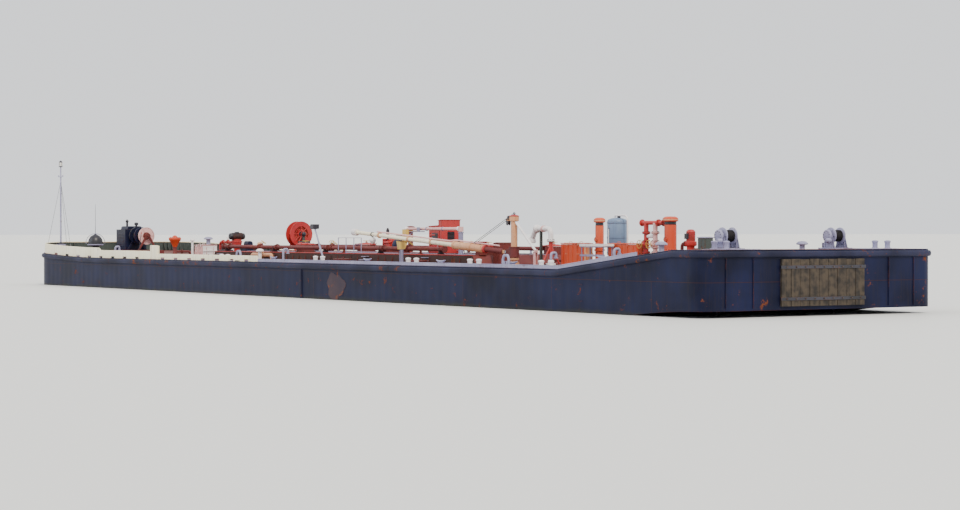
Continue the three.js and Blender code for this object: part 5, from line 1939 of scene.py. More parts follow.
@dataclass
class PowerHouse:
    """The hydraulic power house: a welded cabinet with a raised air trunk, louvred aft, its engine inside and
    a stiffened, louvred door to port."""

    x: float = 5140.0
    length: float = 1040.0
    width: float = 960.0
    low: float = 1190.0
    high: float = 1225.0
    step: float = 290.0
    top: float = 1470.0
    hinge: tuple[float, float] = (-400.0, -510.0)
    hinge_heights: tuple[float, float] = (300.0, 820.0)

    def build(self) -> None:
        """Builds the cabinet, its engine and its door."""
        l, w, t = self.length / 2, self.width / 2, 24
        h = Shape("power_house_cabinet", Coat.RED, (self.x, 0, TRUNK_TOP))
        step, low, high, top = self.step, self.low, self.high, self.top
        over = ((l, top - 6), (step, top - 26), (step, high - 6), (-l, low - 6))
        h.prism(((-l, 0), (l, 0), *over), "xz", w - t, w)
        h.prism(((380, 0), (l, 0), (l, top - 6), (380, top - 20)), "xz", -w, -w + t)
        h.prism(((-l, 0), (-380, 0), (-380, 1010), (380, 1010), (380, top - 20), *over[1:]), "xz", -w, -w + t)
        h.box(-380, 380, -w, -w + t, 0, 110)
        h.box(-l, l, -w, w, 0, 30)
        h.box(-l, t - l, t - w, w - t, 0, low)
        h.box(step - t, step, -w, w, high - 30, top - 26)
        for y0, y1, z0, z1 in ((t - w, -170, 0, top), (190, w - t, 0, top), (-170, 190, 0, 620),
                               (-170, 190, 960, top)):
            h.box(l - t, l, y0, y1, z0, z1 - 8)
        h.prism(((-l - 40, low - 8), (step, high - 6), (step, high + 20), (-l - 40, low + 18)), "xz", -w - 30,
                w + 40)
        h.prism(((step - 30, top - 28), (l + 20, top - 6), (l + 20, top + 22), (step - 30, top)), "xz",
                -w - 30, w + 40)
        for x in (-l + 14, -180, 150):
            h.box(x, x + 26, w - 4, w + 22, 30, low - 20)
        h.use(Coat.BLACK)
        for i in range(6):
            z = 625 + 54 * i
            h.prism(((l - 24, z + 15), (l + 14, z), (l + 14, z + 12), (l - 24, z + 43)), "xz", -180, 200)
        h.lathe([(0, 0), (50, 0), (50, 250), (62, 256), (62, 300), (0, 304)], (60, 250, high - 40))
        h.use(Coat.RED)
        u, v = self.hinge
        for z in self.hinge_heights:
            for s in (-73, 73):
                h.box(u - 45, u - 2, v - 8, -w + 4, z + s - 28, z + s + 28)
            for foot in (z - 110, z + 43):
                h.rod((u, v, foot), (u, v, foot + 67), 20)
        h.make(replaces=("power_house",), bevel=3)

        e = Shape("power_house_engine", Coat.ENGINE, (self.x, 20, TRUNK_TOP + 40))
        e.box(-340, 200, -180, 180, 60, 470)
        e.box(-320, 180, -110, 110, 460, 640)
        e.use(Coat.BLACK)
        for y in (-250, 190):
            e.box(-360, 330, y, y + 60, 0, 70)
        e.rod((-250, 0, 700), (150, 0, 700), 80, sides=20)
        e.rod((190, 0, 300), (320, 0, 300), 150, sides=24)
        e.ring((-352, 0, 300), AFT, 190, 60, 16, 28)
        e.use(Coat.ZINC)
        for i in range(4):
            e.rod((-250 + 110 * i, -180, 380), (-250 + 110 * i, -228, 330), 26)
            line = ((-250 + 110 * i, -228, 330), (-250 + 110 * i, -240, 150), (250, -215, 110))
            e.tube(rounded_path(line, 60), 13, 8)
        e.make(replaces=("power_unit",), bevel=3)

        d = Shape("power_house_door_leaf", Coat.RED, (self.x, 0, TRUNK_TOP))
        d.box(u + 32, 364, -w - 16, -w + 12, 122, 998)
        for z in (150, 955):
            d.box(u + 60, 340, -w - 27, -w - 12, z, z + 18)
        for x in (u + 60, 322):
            d.box(x, x + 18, -w - 27, -w - 12, 150, 973)
        for z in self.hinge_heights:
            d.box(u - 4, 60, v - 12, -w - 12, z - 26, z + 26)
            d.rod((u, v, z - 30), (u, v, z + 30), 20)
        d.use(Coat.BLACK).box(-250, 250, -w - 20, -w - 10, 470, 900)
        for i in range(8):
            z = 480 + 52 * i
            d.prism(((-w - 14, z), (-w - 38, z - 4), (-w - 38, z + 6), (-w - 14, z + 30)), "yz", -240, 240)
        d.use(Coat.ZINC)
        d.rod((305, -w - 12, 400), (305, -w - 46, 400), 16)
        d.tube(rounded_path([(305, -w - 42, 400), (305, -w - 50, 400), (305, -w - 52, 250)], 12, 3), 12, 8)
        d.make("power_house_door", ("power_house_door",), bevel=3)


# Derrick, crutch and the two booms


@dataclass
class Derrick:
    """The hose derrick: a braced kingpost with its gin block, a collar that slews on it, a sleeved boom with
    a white cap and hook ball, and the topping lift."""

    post: tuple[float, float] = (15300.0, -3150.0)
    heel: tuple[float, float, float] = (14850.0, -3150.0, 560.0)
    tip_x: float = 2630.0
    tip_height: float = 1350.0
    radius: float = 85.0
    clear: float = 12.0

    def on_axis(self, x: float, lift: float = 0.0) -> Vector:
        """Gives the point of the boom's axis at a station, or lift over it."""
        rise = (self.tip_height - self.heel[2]) / (self.heel[0] - self.tip_x)
        return Vector((x, self.heel[1], DECK + self.heel[2] + (self.heel[0] - x) * rise + lift))

    def build(self) -> None:
        """Builds post, collar, boom and topping lift."""
        k = Shape("kingpost_column", Coat.TAN, (*self.post, DECK))
        k.lathe([(0, 0), (240, 0), (240, 40), (130, 48), (130, 250), (190, 252), (190, 330), (130, 333),
                 (130, 1780), (190, 1786), (190, 1960), (0, 1962)], sides=32)
        for s in range(6):
            a = math.tau * s / 6
            out = Vector((math.cos(a), math.sin(a), 0))
            side = Vector((-out.y, out.x, 0)) * 8
            fin = [(120, 36), (232, 36), (232, 50), (140, 240), (120, 240)]
            k.loft([[out * r + Vector((0, 0, h)) + side * e for r, h in fin] for e in (-1, 1)])
        k.stud_ring((0, 0, 40), UP, 212, 12, 34)
        for z in (1790, 1848):
            k.box(-440, -100, -75, 75, z, z + 22)
        k.box(-430, -110, -10, 10, 1800, 1860)
        k.use(Coat.RED).lathe([(0, 1955), (196, 1955), (196, 1985), (110, 2020), (0, 2026)], sides=32)
        k.use(Coat.WHITE).rod((40, 0, 1800), (1480, 0, 620), 48, sides=16)
        k.use(Coat.PINK).box(1350, 1630, -110, 110, 0, 24)
        for y in (-66, 46):
            k.prism(((1410, 16), (1570, 16), (1540, 560), (1440, 560)), "xz", y, y + 20)
        k.box(1410, 1430, -70, 70, 16, 560)
        k.box(1400, 1580, -80, 80, 556, 580)
        for y in (-70, 50):
            k.prism(((1430, 576), (1550, 576), (1530, 670), (1450, 670)), "xz", y, y + 20)
        for x in (1380, 1600):
            for y in (-80, 80):
                k.stud((x, y, 24), UP, 30)
        k.use(Coat.BLACK)
        for y in (-60, 44):
            cheek = ((-520, 1840), (-420, 1900), (-320, 1840), (-350, 1640), (-420, 1600), (-490, 1640))
            k.prism(cheek, "xz", y, y + 16)
        k.rod((-420, -40, 1740), (-420, 40, 1740), 92, sides=28)
        k.use(Coat.ZINC).rod((-420, -66, 1740), (-420, 66, 1740), 22)
        k.make(replaces=("kingpost",), bevel=4)

        c = Shape("boom_slewing_collar", Coat.OXIDE, (*self.post, DECK))
        pin, height = self.heel[0] - self.post[0], self.heel[2]
        bore = 130 + self.clear
        c.ring((0, 0, 557), UP, 196, bore, 424, 40)
        for z in (364, 750):
            c.ring((0, 0, z), UP, 214, 180, 36, 40)
        for y in (-110, 70):
            cheek = ((-155, 400), (-155, 720), (pin - 50, height + 88), (pin - 84, height + 60),
                     (pin - 84, height - 60), (pin - 50, height - 88))
            c.prism(cheek, "xz", y, y + 40)
        c.box(-300, -170, -80, 80, 400, 424)
        c.use(Coat.ZINC).rod((pin, -130, height), (pin, 130, height), 38, sides=20)
        for y in (-134, 116):
            c.rod((pin, y, height), (pin, y + 18, height), 62, sides=6)
        c.make("boom_collar", ("boom_collar",), bevel=4)

        b = Shape("hose_boom_spar", Coat.TAN)
        x, y, z = self.heel[0], self.heel[1], DECK + height
        b.ring((x, y, z), ACROSS, 98, 38 + self.clear, 108, 32)
        b.box(x - 420, x - 66, y - 50, y + 50, z - 60, z + 80)
        b.use(Coat.OXIDE).tube([self.on_axis(v) for v in (x - 330, 13330, 13300)], [105, 110, 158], 24)
        b.use(Coat.RED).tube([self.on_axis(v) for v in (13320, 13180)], 166, 24)
        b.use(Coat.TAN).tube([self.on_axis(v) for v in (13200, 10900)], 160, 24)
        b.use(Coat.CREAM).tube([self.on_axis(v) for v in (10905, 10850, self.tip_x + 300)], [158, 92, 80], 20)
        b.use(Coat.TAN)
        for v in (13100, 12300, 11500, 11050):
            b.tube([self.on_axis(v), self.on_axis(v - 60)], 172, 28)
        for v in (9140, 7340, 4900):
            b.tube([self.on_axis(v + 45), self.on_axis(v - 45)], 122, 24)
        b.use(Coat.WHITE)
        cap = [(self.tip_x + 330, 100), (self.tip_x + 320, 148), (self.tip_x + 20, 150), (self.tip_x, 128)]
        b.tube([self.on_axis(v) for v, _ in cap], [r for _, r in cap], 28)
        b.use(Coat.PINK)
        line = [self.on_axis(v, 205 if v > 10800 else 145) for v in (14250, 13500, 11000, 10600, 4700)]
        b.tube(rounded_path(line, 150), 34, 10)
        b.use(Coat.BLACK)
        for v in (12900, 11300, 9140, 7340, 4900):
            high = 160 if v > 10900 else 80
            b.box(v - 40, v + 40, y - 46, y + 46, self.on_axis(v, high - 30).z, self.on_axis(v, high + 34).z)
        hook = self.on_axis(4300)
        b.ring(hook, AFT, 104, 78, 60, 28)
        b.use(Coat.WIRE).rod(hook - Vector((0, 0, 90)), hook - Vector((0, 0, 190)), 16)
        ball = [(0, 0), (36, 0), (60, 30), (120, 80), (150, 150), (150, 175), (118, 245), (60, 290), (0, 300)]
        b.use(Coat.WHITE).lathe(ball, hook - Vector((0, 0, 410)))
        eye = self.on_axis(12500, 150)
        b.use(Coat.ZINC).ring(eye + Vector((0, 0, 50)), ACROSS, 62, 34, 26, 24)
        b.rod(eye + Vector((0, -76, 60)), eye + Vector((0, 76, 60)), 15)
        b.make("hose_boom", ("hose_boom",), bevel=4)

        # the lift's upper end lies on the slewing axis, over the collar
        head = Vector((*self.post, DECK + 2060))
        k = Shape("kingpost_head_eye", Coat.ZINC)
        k.ring(head + Vector((0, 0, 10)), ACROSS, 62, 34, 26, 24)
        k.rod(head + Vector((0, -76, 0)), head + Vector((0, 76, 0)), 15)
        k.make("boom_collar", bevel=2)
        steps = [i / 24 for i in range(25)]
        lift = Shape("topping_lift_wires", Coat.WIRE)
        for side in (-60, 60):
            line = [head.lerp(eye + Vector((0, 0, 60)), s) + Vector((0, side, 0)) for s in steps]
            lift.tube(line, 11, 8)
        block = head.lerp(eye, 0.12)
        lift.use(Coat.BLACK).lathe([(0, -76), (70, -76), (84, 0), (70, 76), (0, 76)], block, ACROSS, 20)
        lift.make("boom_collar", bevel=0, bend=("hose_boom", head.lerp(eye, 0.12), eye))


@dataclass
class Crutch:
    """The steel crutch that both booms lie in: a yellow saddle open to port, and an arm open to starboard."""

    x: float = 6710.0
    seat: float = 941.0
    upper: float = 1398.0

    def build(self) -> None:
        """Builds the column, the saddle and the arm."""
        c = Shape("crutch_column", Coat.GREY, (self.x, 0, DECK))
        for x in (-60, 44):
            c.box(x, x + 16, -3220, -3080, 0, self.seat - 40)
        c.box(-50, 50, -3158, -3142, 0, self.seat - 40)
        c.box(-160, 160, -3330, -2970, 0, 24)
        for x in (-120, 120):
            for y in (-3290, -3010):
                c.stud((x, y, 24), UP, 34)
        c.rod((0, -3100, 500), (0, -2900, self.seat - 30), 30)
        c.box(-90, 90, -2960, -2020, self.upper - 50, self.upper - 14)
        c.box(-90, 90, -2330, -2270, self.upper - 40, self.upper + 150)
        c.rod((0, -2880, self.upper - 260), (0, -2560, self.upper - 46), 26)
        c.use(Coat.YELLOW)
        c.box(-150, 150, -3018, -2862, self.seat + 4, self.upper + 60)
        saddle = ((-3360, 0), (-2862, 0), (-2862, 44), (-3000, 44), (-3070, 14), (-3230, 14), (-3360, 30))
        c.prism([(y, self.seat + h) for y, h in saddle], "yz", -90, 90)
        under = ((-3350, 4), (-2864, 4), (-3010, -330), (-3290, -330))
        c.prism([(y, self.seat + h) for y, h in under], "yz", -78, 78)
        c.box(-96, 96, -2956, -2400, self.upper - 16, self.upper)
        c.make(replaces=("boom_crutch",), bevel=4)


@dataclass
class ShortBoom:
    """The short boom on its own post: pale spar, white cap at its heel, a ball at its end."""

    x: float = 9850.0
    y: float = -2150.0
    tip_x: float = 5450.0
    height: float = 1480.0

    def build(self) -> None:
        """Builds the post and the boom."""
        h = self.height
        p = Shape("short_boom_pedestal", Coat.GREY, (self.x, self.y, DECK))
        p.lathe([(0, 400), (190, 400), (190, 432), (110, 442), (100, 470), (100, h - 170), (122, h - 165),
                 (122, h - 130), (45, h - 128), (45, h + 36), (0, h + 40)], sides=28)
        p.stud_ring((0, 0, 432), UP, 160, 8, 34)
        for s in (-1, 1):
            p.prism(((s * 95, 436), (s * 178, 436), (s * 95, 640)), "xz", -8, 8)
        p.make(replaces=("short_boom_post",), bevel=3)
        b = Shape("short_boom_spar", Coat.PINK, (self.x, self.y, DECK))
        b.ring((0, 0, h - 14), UP, 108, 57, 204, 32)
        b.tube([(-90, 0, h), (self.tip_x - self.x, 0, h)], [68, 58], 20)
        b.use(Coat.WHITE)
        b.lathe([(0, 60), (92, 60), (96, 80), (96, 220), (0, 222)], (0, 0, h), (-1, 0, 0), 24)
        reach = self.tip_x - self.x
        b.lathe([(0, -130), (60, -120), (94, -70), (96, 0), (80, 30), (0, 34)], (reach, 0, h), (-1, 0, 0), 24)
        for v in (-1400, -2700):
            b.use(Coat.GREY).ring((v, 0, h), AFT, 84, 50, 50, 24)
        b.make("short_boom", ("short_boom",), bevel=3)


# Gear abaft the trunk


@dataclass
class Riser:
    """The pale pipe that rises over the deck and turns down to a swivel end, on a white-footed red leg."""

    x: float = 12590.0

    def build(self) -> None:
        """Builds the pipe with its leg and its prop, and the lidded chest to port of it."""
        r = Shape("riser_pipe", Coat.WHITE, (self.x, 0, DECK))
        r.pipe([(700, 0, 950), (700, 0, 1480), (-400, 0, 1480), (-660, 0, 1000)], 105, 2.6, 20)
        r.lathe([(0, -20), (178, -20), (178, 20), (150, 60), (118, 130), (0, 132)], (-666, 0, 990),
                (0.476, 0, 0.88))
        r.lathe([(0, -40), (140, -30), (172, 40), (172, 90), (140, 160), (0, 175)], (-360, 0, 1480), AFT)
        r.use(Coat.PINK).lathe([(0, 0), (135, 0), (135, 90), (0, 92)], (140, 0, 1480), AFT)
        r.use(Coat.WHITE)
        r.flange((700, 0, 1000), UP, 168)
        r.lathe([(0, 0), (200, 0), (200, 60), (120, 90), (100, 220), (0, 222)], (700, 0, 0))
        r.stud_ring((700, 0, 60), UP, 165, 8, 34)
        r.use(Coat.RED)
        r.rod((700, 0, 200), (700, 0, 980), 90, sides=24)
        for hand in (-1, 1):
            r.rod((700, hand * 420, 40), (700, hand * 60, 700), 34)
        r.use(Coat.DRAB)
        for y in (-40, 24):
            r.box(-60, 60, y, y + 16, 0, 1385)
        r.box(-12, 12, -36, 36, 0, 1390)
        r.box(-160, 160, -160, 160, 0, 24)
        r.make(replaces=("riser",), bevel=3)
        o = Shape("aft_trunk_chest", Coat.OXIDE, (12060, -2000, DECK))
        o.box(0, 480, 0, 700, 10, 880)
        o.prism(((-20, 876), (500, 876), (500, 900), (240, 930), (-20, 900)), "xz", -20, 720)
        for x in (60, 220, 380):
            o.box(x, x + 24, -22, 2, 40, 860)
        o.box(-600, -260, -480, -140, 395, 930)
        o.use(Coat.RED).box(-620, -240, -500, -120, 925, 960)
        o.make(bevel=4)


@dataclass
class Catwalk:
    """The white grating platform in two lengths between the casings, on legs joined by a low rail."""

    x: float = 17200.0
    lengths: Sequence[tuple[str, float, float]] = (("fore", -830.0, -100.0), ("aft", 240.0, 830.0))

    def build(self) -> None:
        """Builds the frame and each length's grating bars."""
        c = Shape("catwalk_frame", Coat.WHITE, (self.x, 0, DECK))
        for _, x0, x1 in self.lengths:
            for y in (-780, -320):
                c.box(x0, x1, y, y + 20, 780, 884)
            for x in (x0 + 2, x1 - 16):
                c.box(x, x + 14, -762, -318, 790, 880)
        c.use(Coat.GREY)
        for y in (-750, -340):
            c.box(-830, 830, y, y + 20, 744, 790)
            for x in (-750, 690):
                c.box(x, x + 60, y, y + 10, 0, 760)
                c.box(x, x + 10, y, y + 60, 0, 760)
                c.box(x - 30, x + 90, y - 30, y + 90, 0, 12)
        c.box(-830, 830, -760, -745, 390, 470)
        c.make(replaces=("catwalk",), bevel=3)
        for name, x0, x1 in self.lengths:
            g = Shape(f"catwalk_grating_{name}", Coat.WHITE, (self.x, 0, DECK))
            g.box(x0 + 24, x0 + 32, -762, -318, 840, 880)
            g.make(bevel=0, row=(int((x1 - x0 - 40) / 31) + 1, (31, 0, 0)))


@dataclass
class VentPost:
    """A tall orange vent post: flanged foot, a hooded head with its screen, and a hand-hole cover."""

    name: str
    x: float
    radius: float

    def build(self) -> None:
        """Builds the post."""
        r = self.radius
        v = Shape.on_deck(f"{self.name}_pipe", Coat.ORANGE, self.x, 0, r + 60)
        v.lathe([(0, 20), (r + 50, 20), (r + 50, 56), (r, 62), (r, 600), (r + 40, 604), (r + 40, 650),
                 (r, 654), (r, 1600), (r - 30, 1604), (r - 30, 1720), (r + 20, 1724), (r + 60, 1740),
                 (r + 60, 1850), (r, 1895), (r - 60, 1915), (0, 1920)], sides=36)
        v.stud_ring((0, 0, 56), UP, r + 26, 12, 34)
        v.stud_ring((0, 0, 650), UP, r + 21, 14, 28)
        v.rod((0, -r + 10, 1050), (0, -r - 26, 1050), 96, sides=24)
        v.stud_ring((0, -r - 26, 1050), (0, -1, 0), 78, 8, 22)
        v.use(Coat.BLACK).ring((0, 0, 1662), UP, r - 8, r - 40, 116, 36)
        v.use(Coat.TAN).ring((0, 0, 1795), UP, r + 68, r + 40, 40, 36)
        v.make(replaces=(self.name,), bevel=3)


@dataclass
class DayTank:
    """The blue-grey oil tank on legs, with hoops, a gauge glass, a filler and a pale bent vent pipe."""

    x: float = 15900.0
    y: float = 1420.0

    def build(self) -> None:
        """Builds the tank."""
        t = Shape("day_tank_shell", Coat.TANK, (self.x, self.y, DECK))
        t.lathe([(0, 330), (150, 336), (260, 350), (360, 395), (400, 450), (400, 1790), (370, 1840),
                 (280, 1885), (150, 1915), (0, 1925)], sides=44)
        for z in (520, 1120, 1720):
            t.ring((0, 0, z), UP, 412, 390, 60, 44)
        for i in range(4):
            a = math.tau * i / 4 + 0.5
            x, y = 330 * math.cos(a), 330 * math.sin(a)
            t.box(x - 35, x + 35, y - 35, y + 35, 0, 470)
            t.box(x - 80, x + 80, y - 80, y + 80, 0, 16)
        t.use(Coat.BLACK).rod((120, 0, 1900), (120, 0, 1990), 70, sides=20)
        t.use(Coat.LENS).rod((0, -425, 700), (0, -425, 1500), 16)
        t.use(Coat.ZINC)
        for z in (690, 1480):
            t.rod((0, -390, z), (0, -425, z), 18)
            t.rod((0, -425, z), (0, -425, z + 40), 24)
        t.use(Coat.WHITE)
        t.pipe([(-150, 0, 1890), (-150, 0, 2010), (700, 0, 2010), (700, 0, 4)], 32, 8)
        t.pipe([(0, 0, 340), (0, 0, 200), (0, -700, 200), (0, -700, 60)], 30)
        t.make(replaces=("day_tank",), bevel=3)


@dataclass
class Manifold:
    """Two valved drops under a header, with blanked ends, and a branch to the deck."""

    x: float = 20000.0
    header: float = 1700.0

    def build(self) -> None:
        """Builds the header, the drops and their valves."""
        m = Shape("manifold_pipes", Coat.RED, (self.x, 0, DECK))
        m.rod((-550, 0, self.header), (760, 0, self.header), 80, sides=24)
        for x, out in ((-550, -1), (760, 1)):
            m.rod((x, 0, self.header), (x + out * 36, 0, self.header), 135, sides=28)
            m.stud_ring((x + out * 36, 0, self.header), (out, 0, 0), 110, 8, 28)
        m.flange((460, 0, self.header), AFT, 135)
        for x, coat in ((-310, Coat.RED), (260, Coat.PINK)):
            m.use(coat)
            m.rod((x, 0, 0), (x, 0, self.header), 95, sides=28)
            m.rod((x, 0, 0), (x, 0, 40), 200, sides=28)
            m.stud_ring((x, 0, 40), UP, 162, 8, 38)
            for z in (560, 1320):
                m.flange((x, 0, z), UP, 165)
            m.gate_valve((x, 0, 880), UP, (0, -1, 0), 92)
        m.use(Coat.WHITE).rod((-215, 0, 1180), (165, 0, 1180), 66, sides=20)
        m.use(Coat.OXIDE).pipe([(-30, 0, 420), (-30, -900, 420), (-30, -900, 4)], 55, 2.5)
        m.rod((-310, 0, 420), (260, 0, 420), 64, sides=20)
        m.flange((-30, -500, 420), ACROSS, 100)
        m.make(replaces=("manifold",), bevel=3)


@dataclass
class SternGear:
    """The stern pump and the dark tool locker on the after deck."""

    pump_x: float = 22420.0
    locker_x: float = 23290.0

    def build(self) -> None:
        """Builds both."""
        p = Shape.on_deck("stern_pump_unit", Coat.RED, self.pump_x, 0, 600)
        p.lathe([(0, 0), (240, 0), (240, 60), (150, 70), (150, 300), (165, 310), (150, 320), (150, 620),
                 (230, 660), (230, 800), (170, 820), (170, 1180), (110, 1250), (0, 1260)], sides=32)
        for i in range(9):
            p.ring((0, 0, 860 + 36 * i), UP, 184, 165, 12, 32)
        p.stud_ring((0, 0, 60), UP, 196, 8, 36)
        p.use(Coat.OXIDE).pipe([(-180, 0, 720), (-520, 0, 720), (-520, 0, 24)], 65, 2)
        p.flange((-300, 0, 720), AFT, 112)
        p.pipe([(180, 0, 500), (480, 0, 500), (480, 0, 24)], 60, 2)
        p.use(Coat.BLACK).box(-80, 80, -250, -160, 900, 1100)
        p.make(replaces=("stern_pump",), bevel=3)
        t = Shape.on_deck("tool_locker_case", Coat.DRAB, self.locker_x, 0, 240)
        t.box(-220, 220, -185, 185, 20, 884)
        for x in (-206, 6):
            t.box(x, x + 200, -198, -181, 60, 850)
        t.use(Coat.ZINC)
        for x in (-24, 12):
            t.box(x, x + 12, -212, -195, 420, 520)
        t.use(Coat.GREY).prism(((-210, 880), (210, 880), (210, 912), (0, 932), (-210, 912)), "yz", -245, 245)
        t.make(replaces=("tool_locker",), bevel=4)


@dataclass
class QuarterWinch:
    """A single-drum mooring winch on the after deck, with the quarter bitts on the same plate."""

    name: str
    y: float
    x: float = 27600.0
    bitts: tuple[float, float] = (28700.0, 3700.0)
    axis: float = 470.0

    def build(self) -> None:
        """Builds the frame with its gear case and the bitts, then the drum and its wire."""
        z, h = deck_z(self.x + 450) + GAP, self.axis
        f = Shape(f"{self.name}_bed", Coat.GREY, (self.x, self.y, z))
        f.footing(-450, 450, -420, 420, 40)
        for y in (-330, 270):
            f.prism(((-330, 30), (330, 30), (150, h + 120), (-150, h + 120)), "xz", y + 20, y + 40)
            f.box(-340, 340, y, y + 60, 36, 60)
            f.rod((0, y - 6, h), (0, y + 66, h), 88, sides=24)
            for s in (-1, 1):
                f.stud((s * 280, y + 10, 60), UP, 34)
                f.box(s * 170 - 7, s * 170 + 7, y, y + 60, 50, 380)
        f.lathe([(0, 0), (190, 0), (226, 30), (226, 70), (190, 100), (0, 100)], (0, -430, h), ACROSS, 36)
        f.stud_ring((0, -430, h), (0, -1, 0), 165, 10, 26)
        f.lathe([(0, 0), (85, 0), (85, 150), (60, 190), (0, 192)], (170, -400, h - 170), (0, -1, 0), 24)
        f.box(-440, -400, -250, 250, 40, 220)
        hand = math.copysign(1, self.y)
        bitts_x, middle = self.bitts[0] - self.x, hand * self.bitts[1] - self.y
        y0, y1 = sorted((0.0, middle + hand * 190))
        knots = [-450, 500, bitts_x + 700]
        line = [(v, deck_z(self.x + v) + GAP - z) for v in knots]
        f.prism([*line, *((v, e + 20) for v, e in reversed(line))], "xz", y0, y1)
        for v in (-320, 320):
            at = bitts_x + v
            MooringBitts.post(f, at, middle, deck_z(self.x + at) - z + 10)
        f.use(Coat.BLACK).rod((-250, 400, 40), (-330, 400, 700), 16)
        f.make(replaces=(f"{self.name}_frame",), bevel=4)
        d = Shape(f"{self.name}_barrel", Coat.GREY, (self.x, self.y, z + h))
        d.rod((0, -400, 0), (0, 380, 0), 40, sides=20)
        d.rod((0, -210, 0), (0, 210, 0), 128, sides=28)
        for y in (-220, 220):
            d.lathe([(0, -20), (285, -20), (300, -12), (300, 12), (285, 20), (0, 20)], (0, y, 0), ACROSS, 40)
            d.spokes(y + math.copysign(20, y), 0, (60, 270), 6, 16, 12)
        d.make(f"{self.name}_drum", (f"{self.name}_drum",), bevel=3)
        Winding(f"{self.name}_wire", Coat.WIRE, f"{self.name}_drum", (self.x, self.y, z + h), width=398,
                core=128, thickness=30, layers=3).make()


@dataclass
class Sundries:
    """The lamp, vents, manholes, posts and small pipes that stand about the deck."""

    # station, distance from the centreline, radius, height, coat
    mushrooms: Sequence[tuple[float, float, float, float, Coat]] = (
        (-20100, 0, 75, 1000, Coat.WHITE),
        (-19400, 600, 140, 1090, Coat.GREY),
        (-850, 1900, 150, 1230, Coat.OXIDE),
        (-6060, -3250, 110, 560, Coat.WHITE),
        (-23600, 3600, 150, 640, Coat.BLACK),
        (24900, -3300, 130, 620, Coat.GREY),
        (24900, 3300, 130, 620, Coat.GREY),
    )
    goosenecks: Sequence[tuple[float, float]] = (
        (-21300, -3900), (-13700, 4100), (-9500, 4300), (-1800, 4300), (5900, 4300), (13400, 4300),
        (20900, 4000), (-2500, -3900), (18900, -3900), (22900, -3900),
    )
    manholes: Sequence[tuple[float, float]] = (
        (-23900, 2400), (-17300, -3600), (-10200, -3900), (3600, -4250), (9300, -3900), (17300, 3600),
        (24200, 1900),
    )

    def build(self) -> None:
        """Builds the lamp and everything else."""
        n = Shape("deck_lamp_head", Coat.BLACK, (1730, -4150, DECK))
        n.box(-140, 140, -140, 140, 0, 22)
        n.use(Coat.GREY).rod((60, 0, 20), (-420, -200, 1500), 42, 34, 16)
        n.use(Coat.BLACK).prism(((-600, 1470), (-310, 1490), (-300, 1690), (-540, 1690), (-600, 1640)), "xz",
                                -350, -50)
        n.use(Coat.LENS).prism(((-606, 1490), (-598, 1490), (-598, 1625), (-606, 1625)), "xz", -325, -75)
        n.make(replaces=("deck_lamp",), bevel=4)

        v = Shape("mushroom_vents", Coat.WHITE)
        for x, y, r, h, coat in self.mushrooms:
            foot = TRUNK_TOP if abs(x) < 11000 and abs(y) < 2700 else deck_z(x) + GAP
            v.use(coat)
            v.lathe([(0, -8), (r * 1.5, -8), (r * 1.5, 18), (r * 0.8, 26), (r * 0.8, h - 150),
                     (r * 1.7, h - 130), (r * 1.7, h - 90), (r * 1.1, h - 20), (0, h)], (x, y, foot))
            v.stud_ring((x, y, foot + 18), UP, r * 1.2, 6, 24)
        v.make(bevel=3)

        g = Shape("gooseneck_vents", Coat.GREY)
        for x, y in self.goosenecks:
            z, hand = deck_z(x), math.copysign(1, y)
            neck = [(x, y, z - 20), (x, y, z + 560), (x, y - hand * 230, z + 560),
                    (x, y - hand * 230, z + 400)]
            g.pipe(neck, 52, 2.2)
            g.rod((x, y, z - 10), (x, y, z + 20), 105, sides=20)
            g.rod((x, y - hand * 230, z + 400), (x, y - hand * 230, z + 350), 82, sides=20)
        g.make(bevel=2)

        m = Shape("manhole_covers", Coat.OXIDE)
        for x, y in self.manholes:
            z = deck_z(x)
            m.lathe([(0, -20), (380, -20), (380, 150), (410, 154), (410, 186), (330, 194), (0, 198)],
                    (x, y, z))
            m.stud_ring((x, y, z + 186), UP, 375, 16, 34)
            m.grip((x - 90, y, z + 190), (x + 90, y, z + 190), (0, 0, 60), 11)
        m.make(bevel=3)

        p = Shape("deck_pipes", Coat.TAN)
        z = DECK
        p.pipe([(-7300, -3020, z), (-7300, -3020, z + 270), (-5300, -3020, z + 270), (-5300, -3020, z)], 90)
        p.flange((-6300, -3020, z + 270), AFT, 140)
        p.use(Coat.OXIDE)
        p.pipe([(-11300, 3050, z), (-11300, 3050, z + 160), (11800, 3050, z + 160), (11800, 3050, z)], 45)
        p.pipe([(-11300, -3050, z), (-11300, -3050, z + 120), (-8700, -3050, z + 120), (-8700, -3050, z)], 45)
        p.pipe([(12200, 900, z), (12200, 900, z + 180), (19200, 900, z + 180), (19200, 0, z + 180)], 60)
        p.use(Coat.ZINC)
        p.pipe([(5700, 300, z + 520), (6300, 300, z + 520), (6300, 300, z + 440), (11300, 300, z + 440)], 22)
        p.pipe([(5700, 400, z + 560), (6360, 400, z + 560), (6360, 400, z + 440), (11300, 400, z + 440)], 22)
        p.make(bevel=0)

        s = Shape("guard_stanchions", Coat.GREY)
        for x in (400, 1100, 1800, 2450):
            s.rod((x, -2650, TRUNK_TOP - 4), (x, -2650, TRUNK_TOP + 700), 19)
            s.rod((x, -2650, TRUNK_TOP - 4), (x, -2650, TRUNK_TOP + 20), 60)
        for h in (380, 690):
            s.rod((400, -2650, TRUNK_TOP + h), (2450, -2650, TRUNK_TOP + h), 9, sides=8)
        s.make(bevel=0)

        r = Shape("trunk_steps", Coat.GREY)
        for x in (-11000, 3200, 8200):
            for hand in (-1, 1):
                for i in (0, 1):
                    z = DECK + 120 + 140 * i
                    r.box(x - 200, x + 200, hand * 2800, hand * (3120 - 140 * i), z, z + 24)
        r.make(bevel=2)


# Camera, floor and light


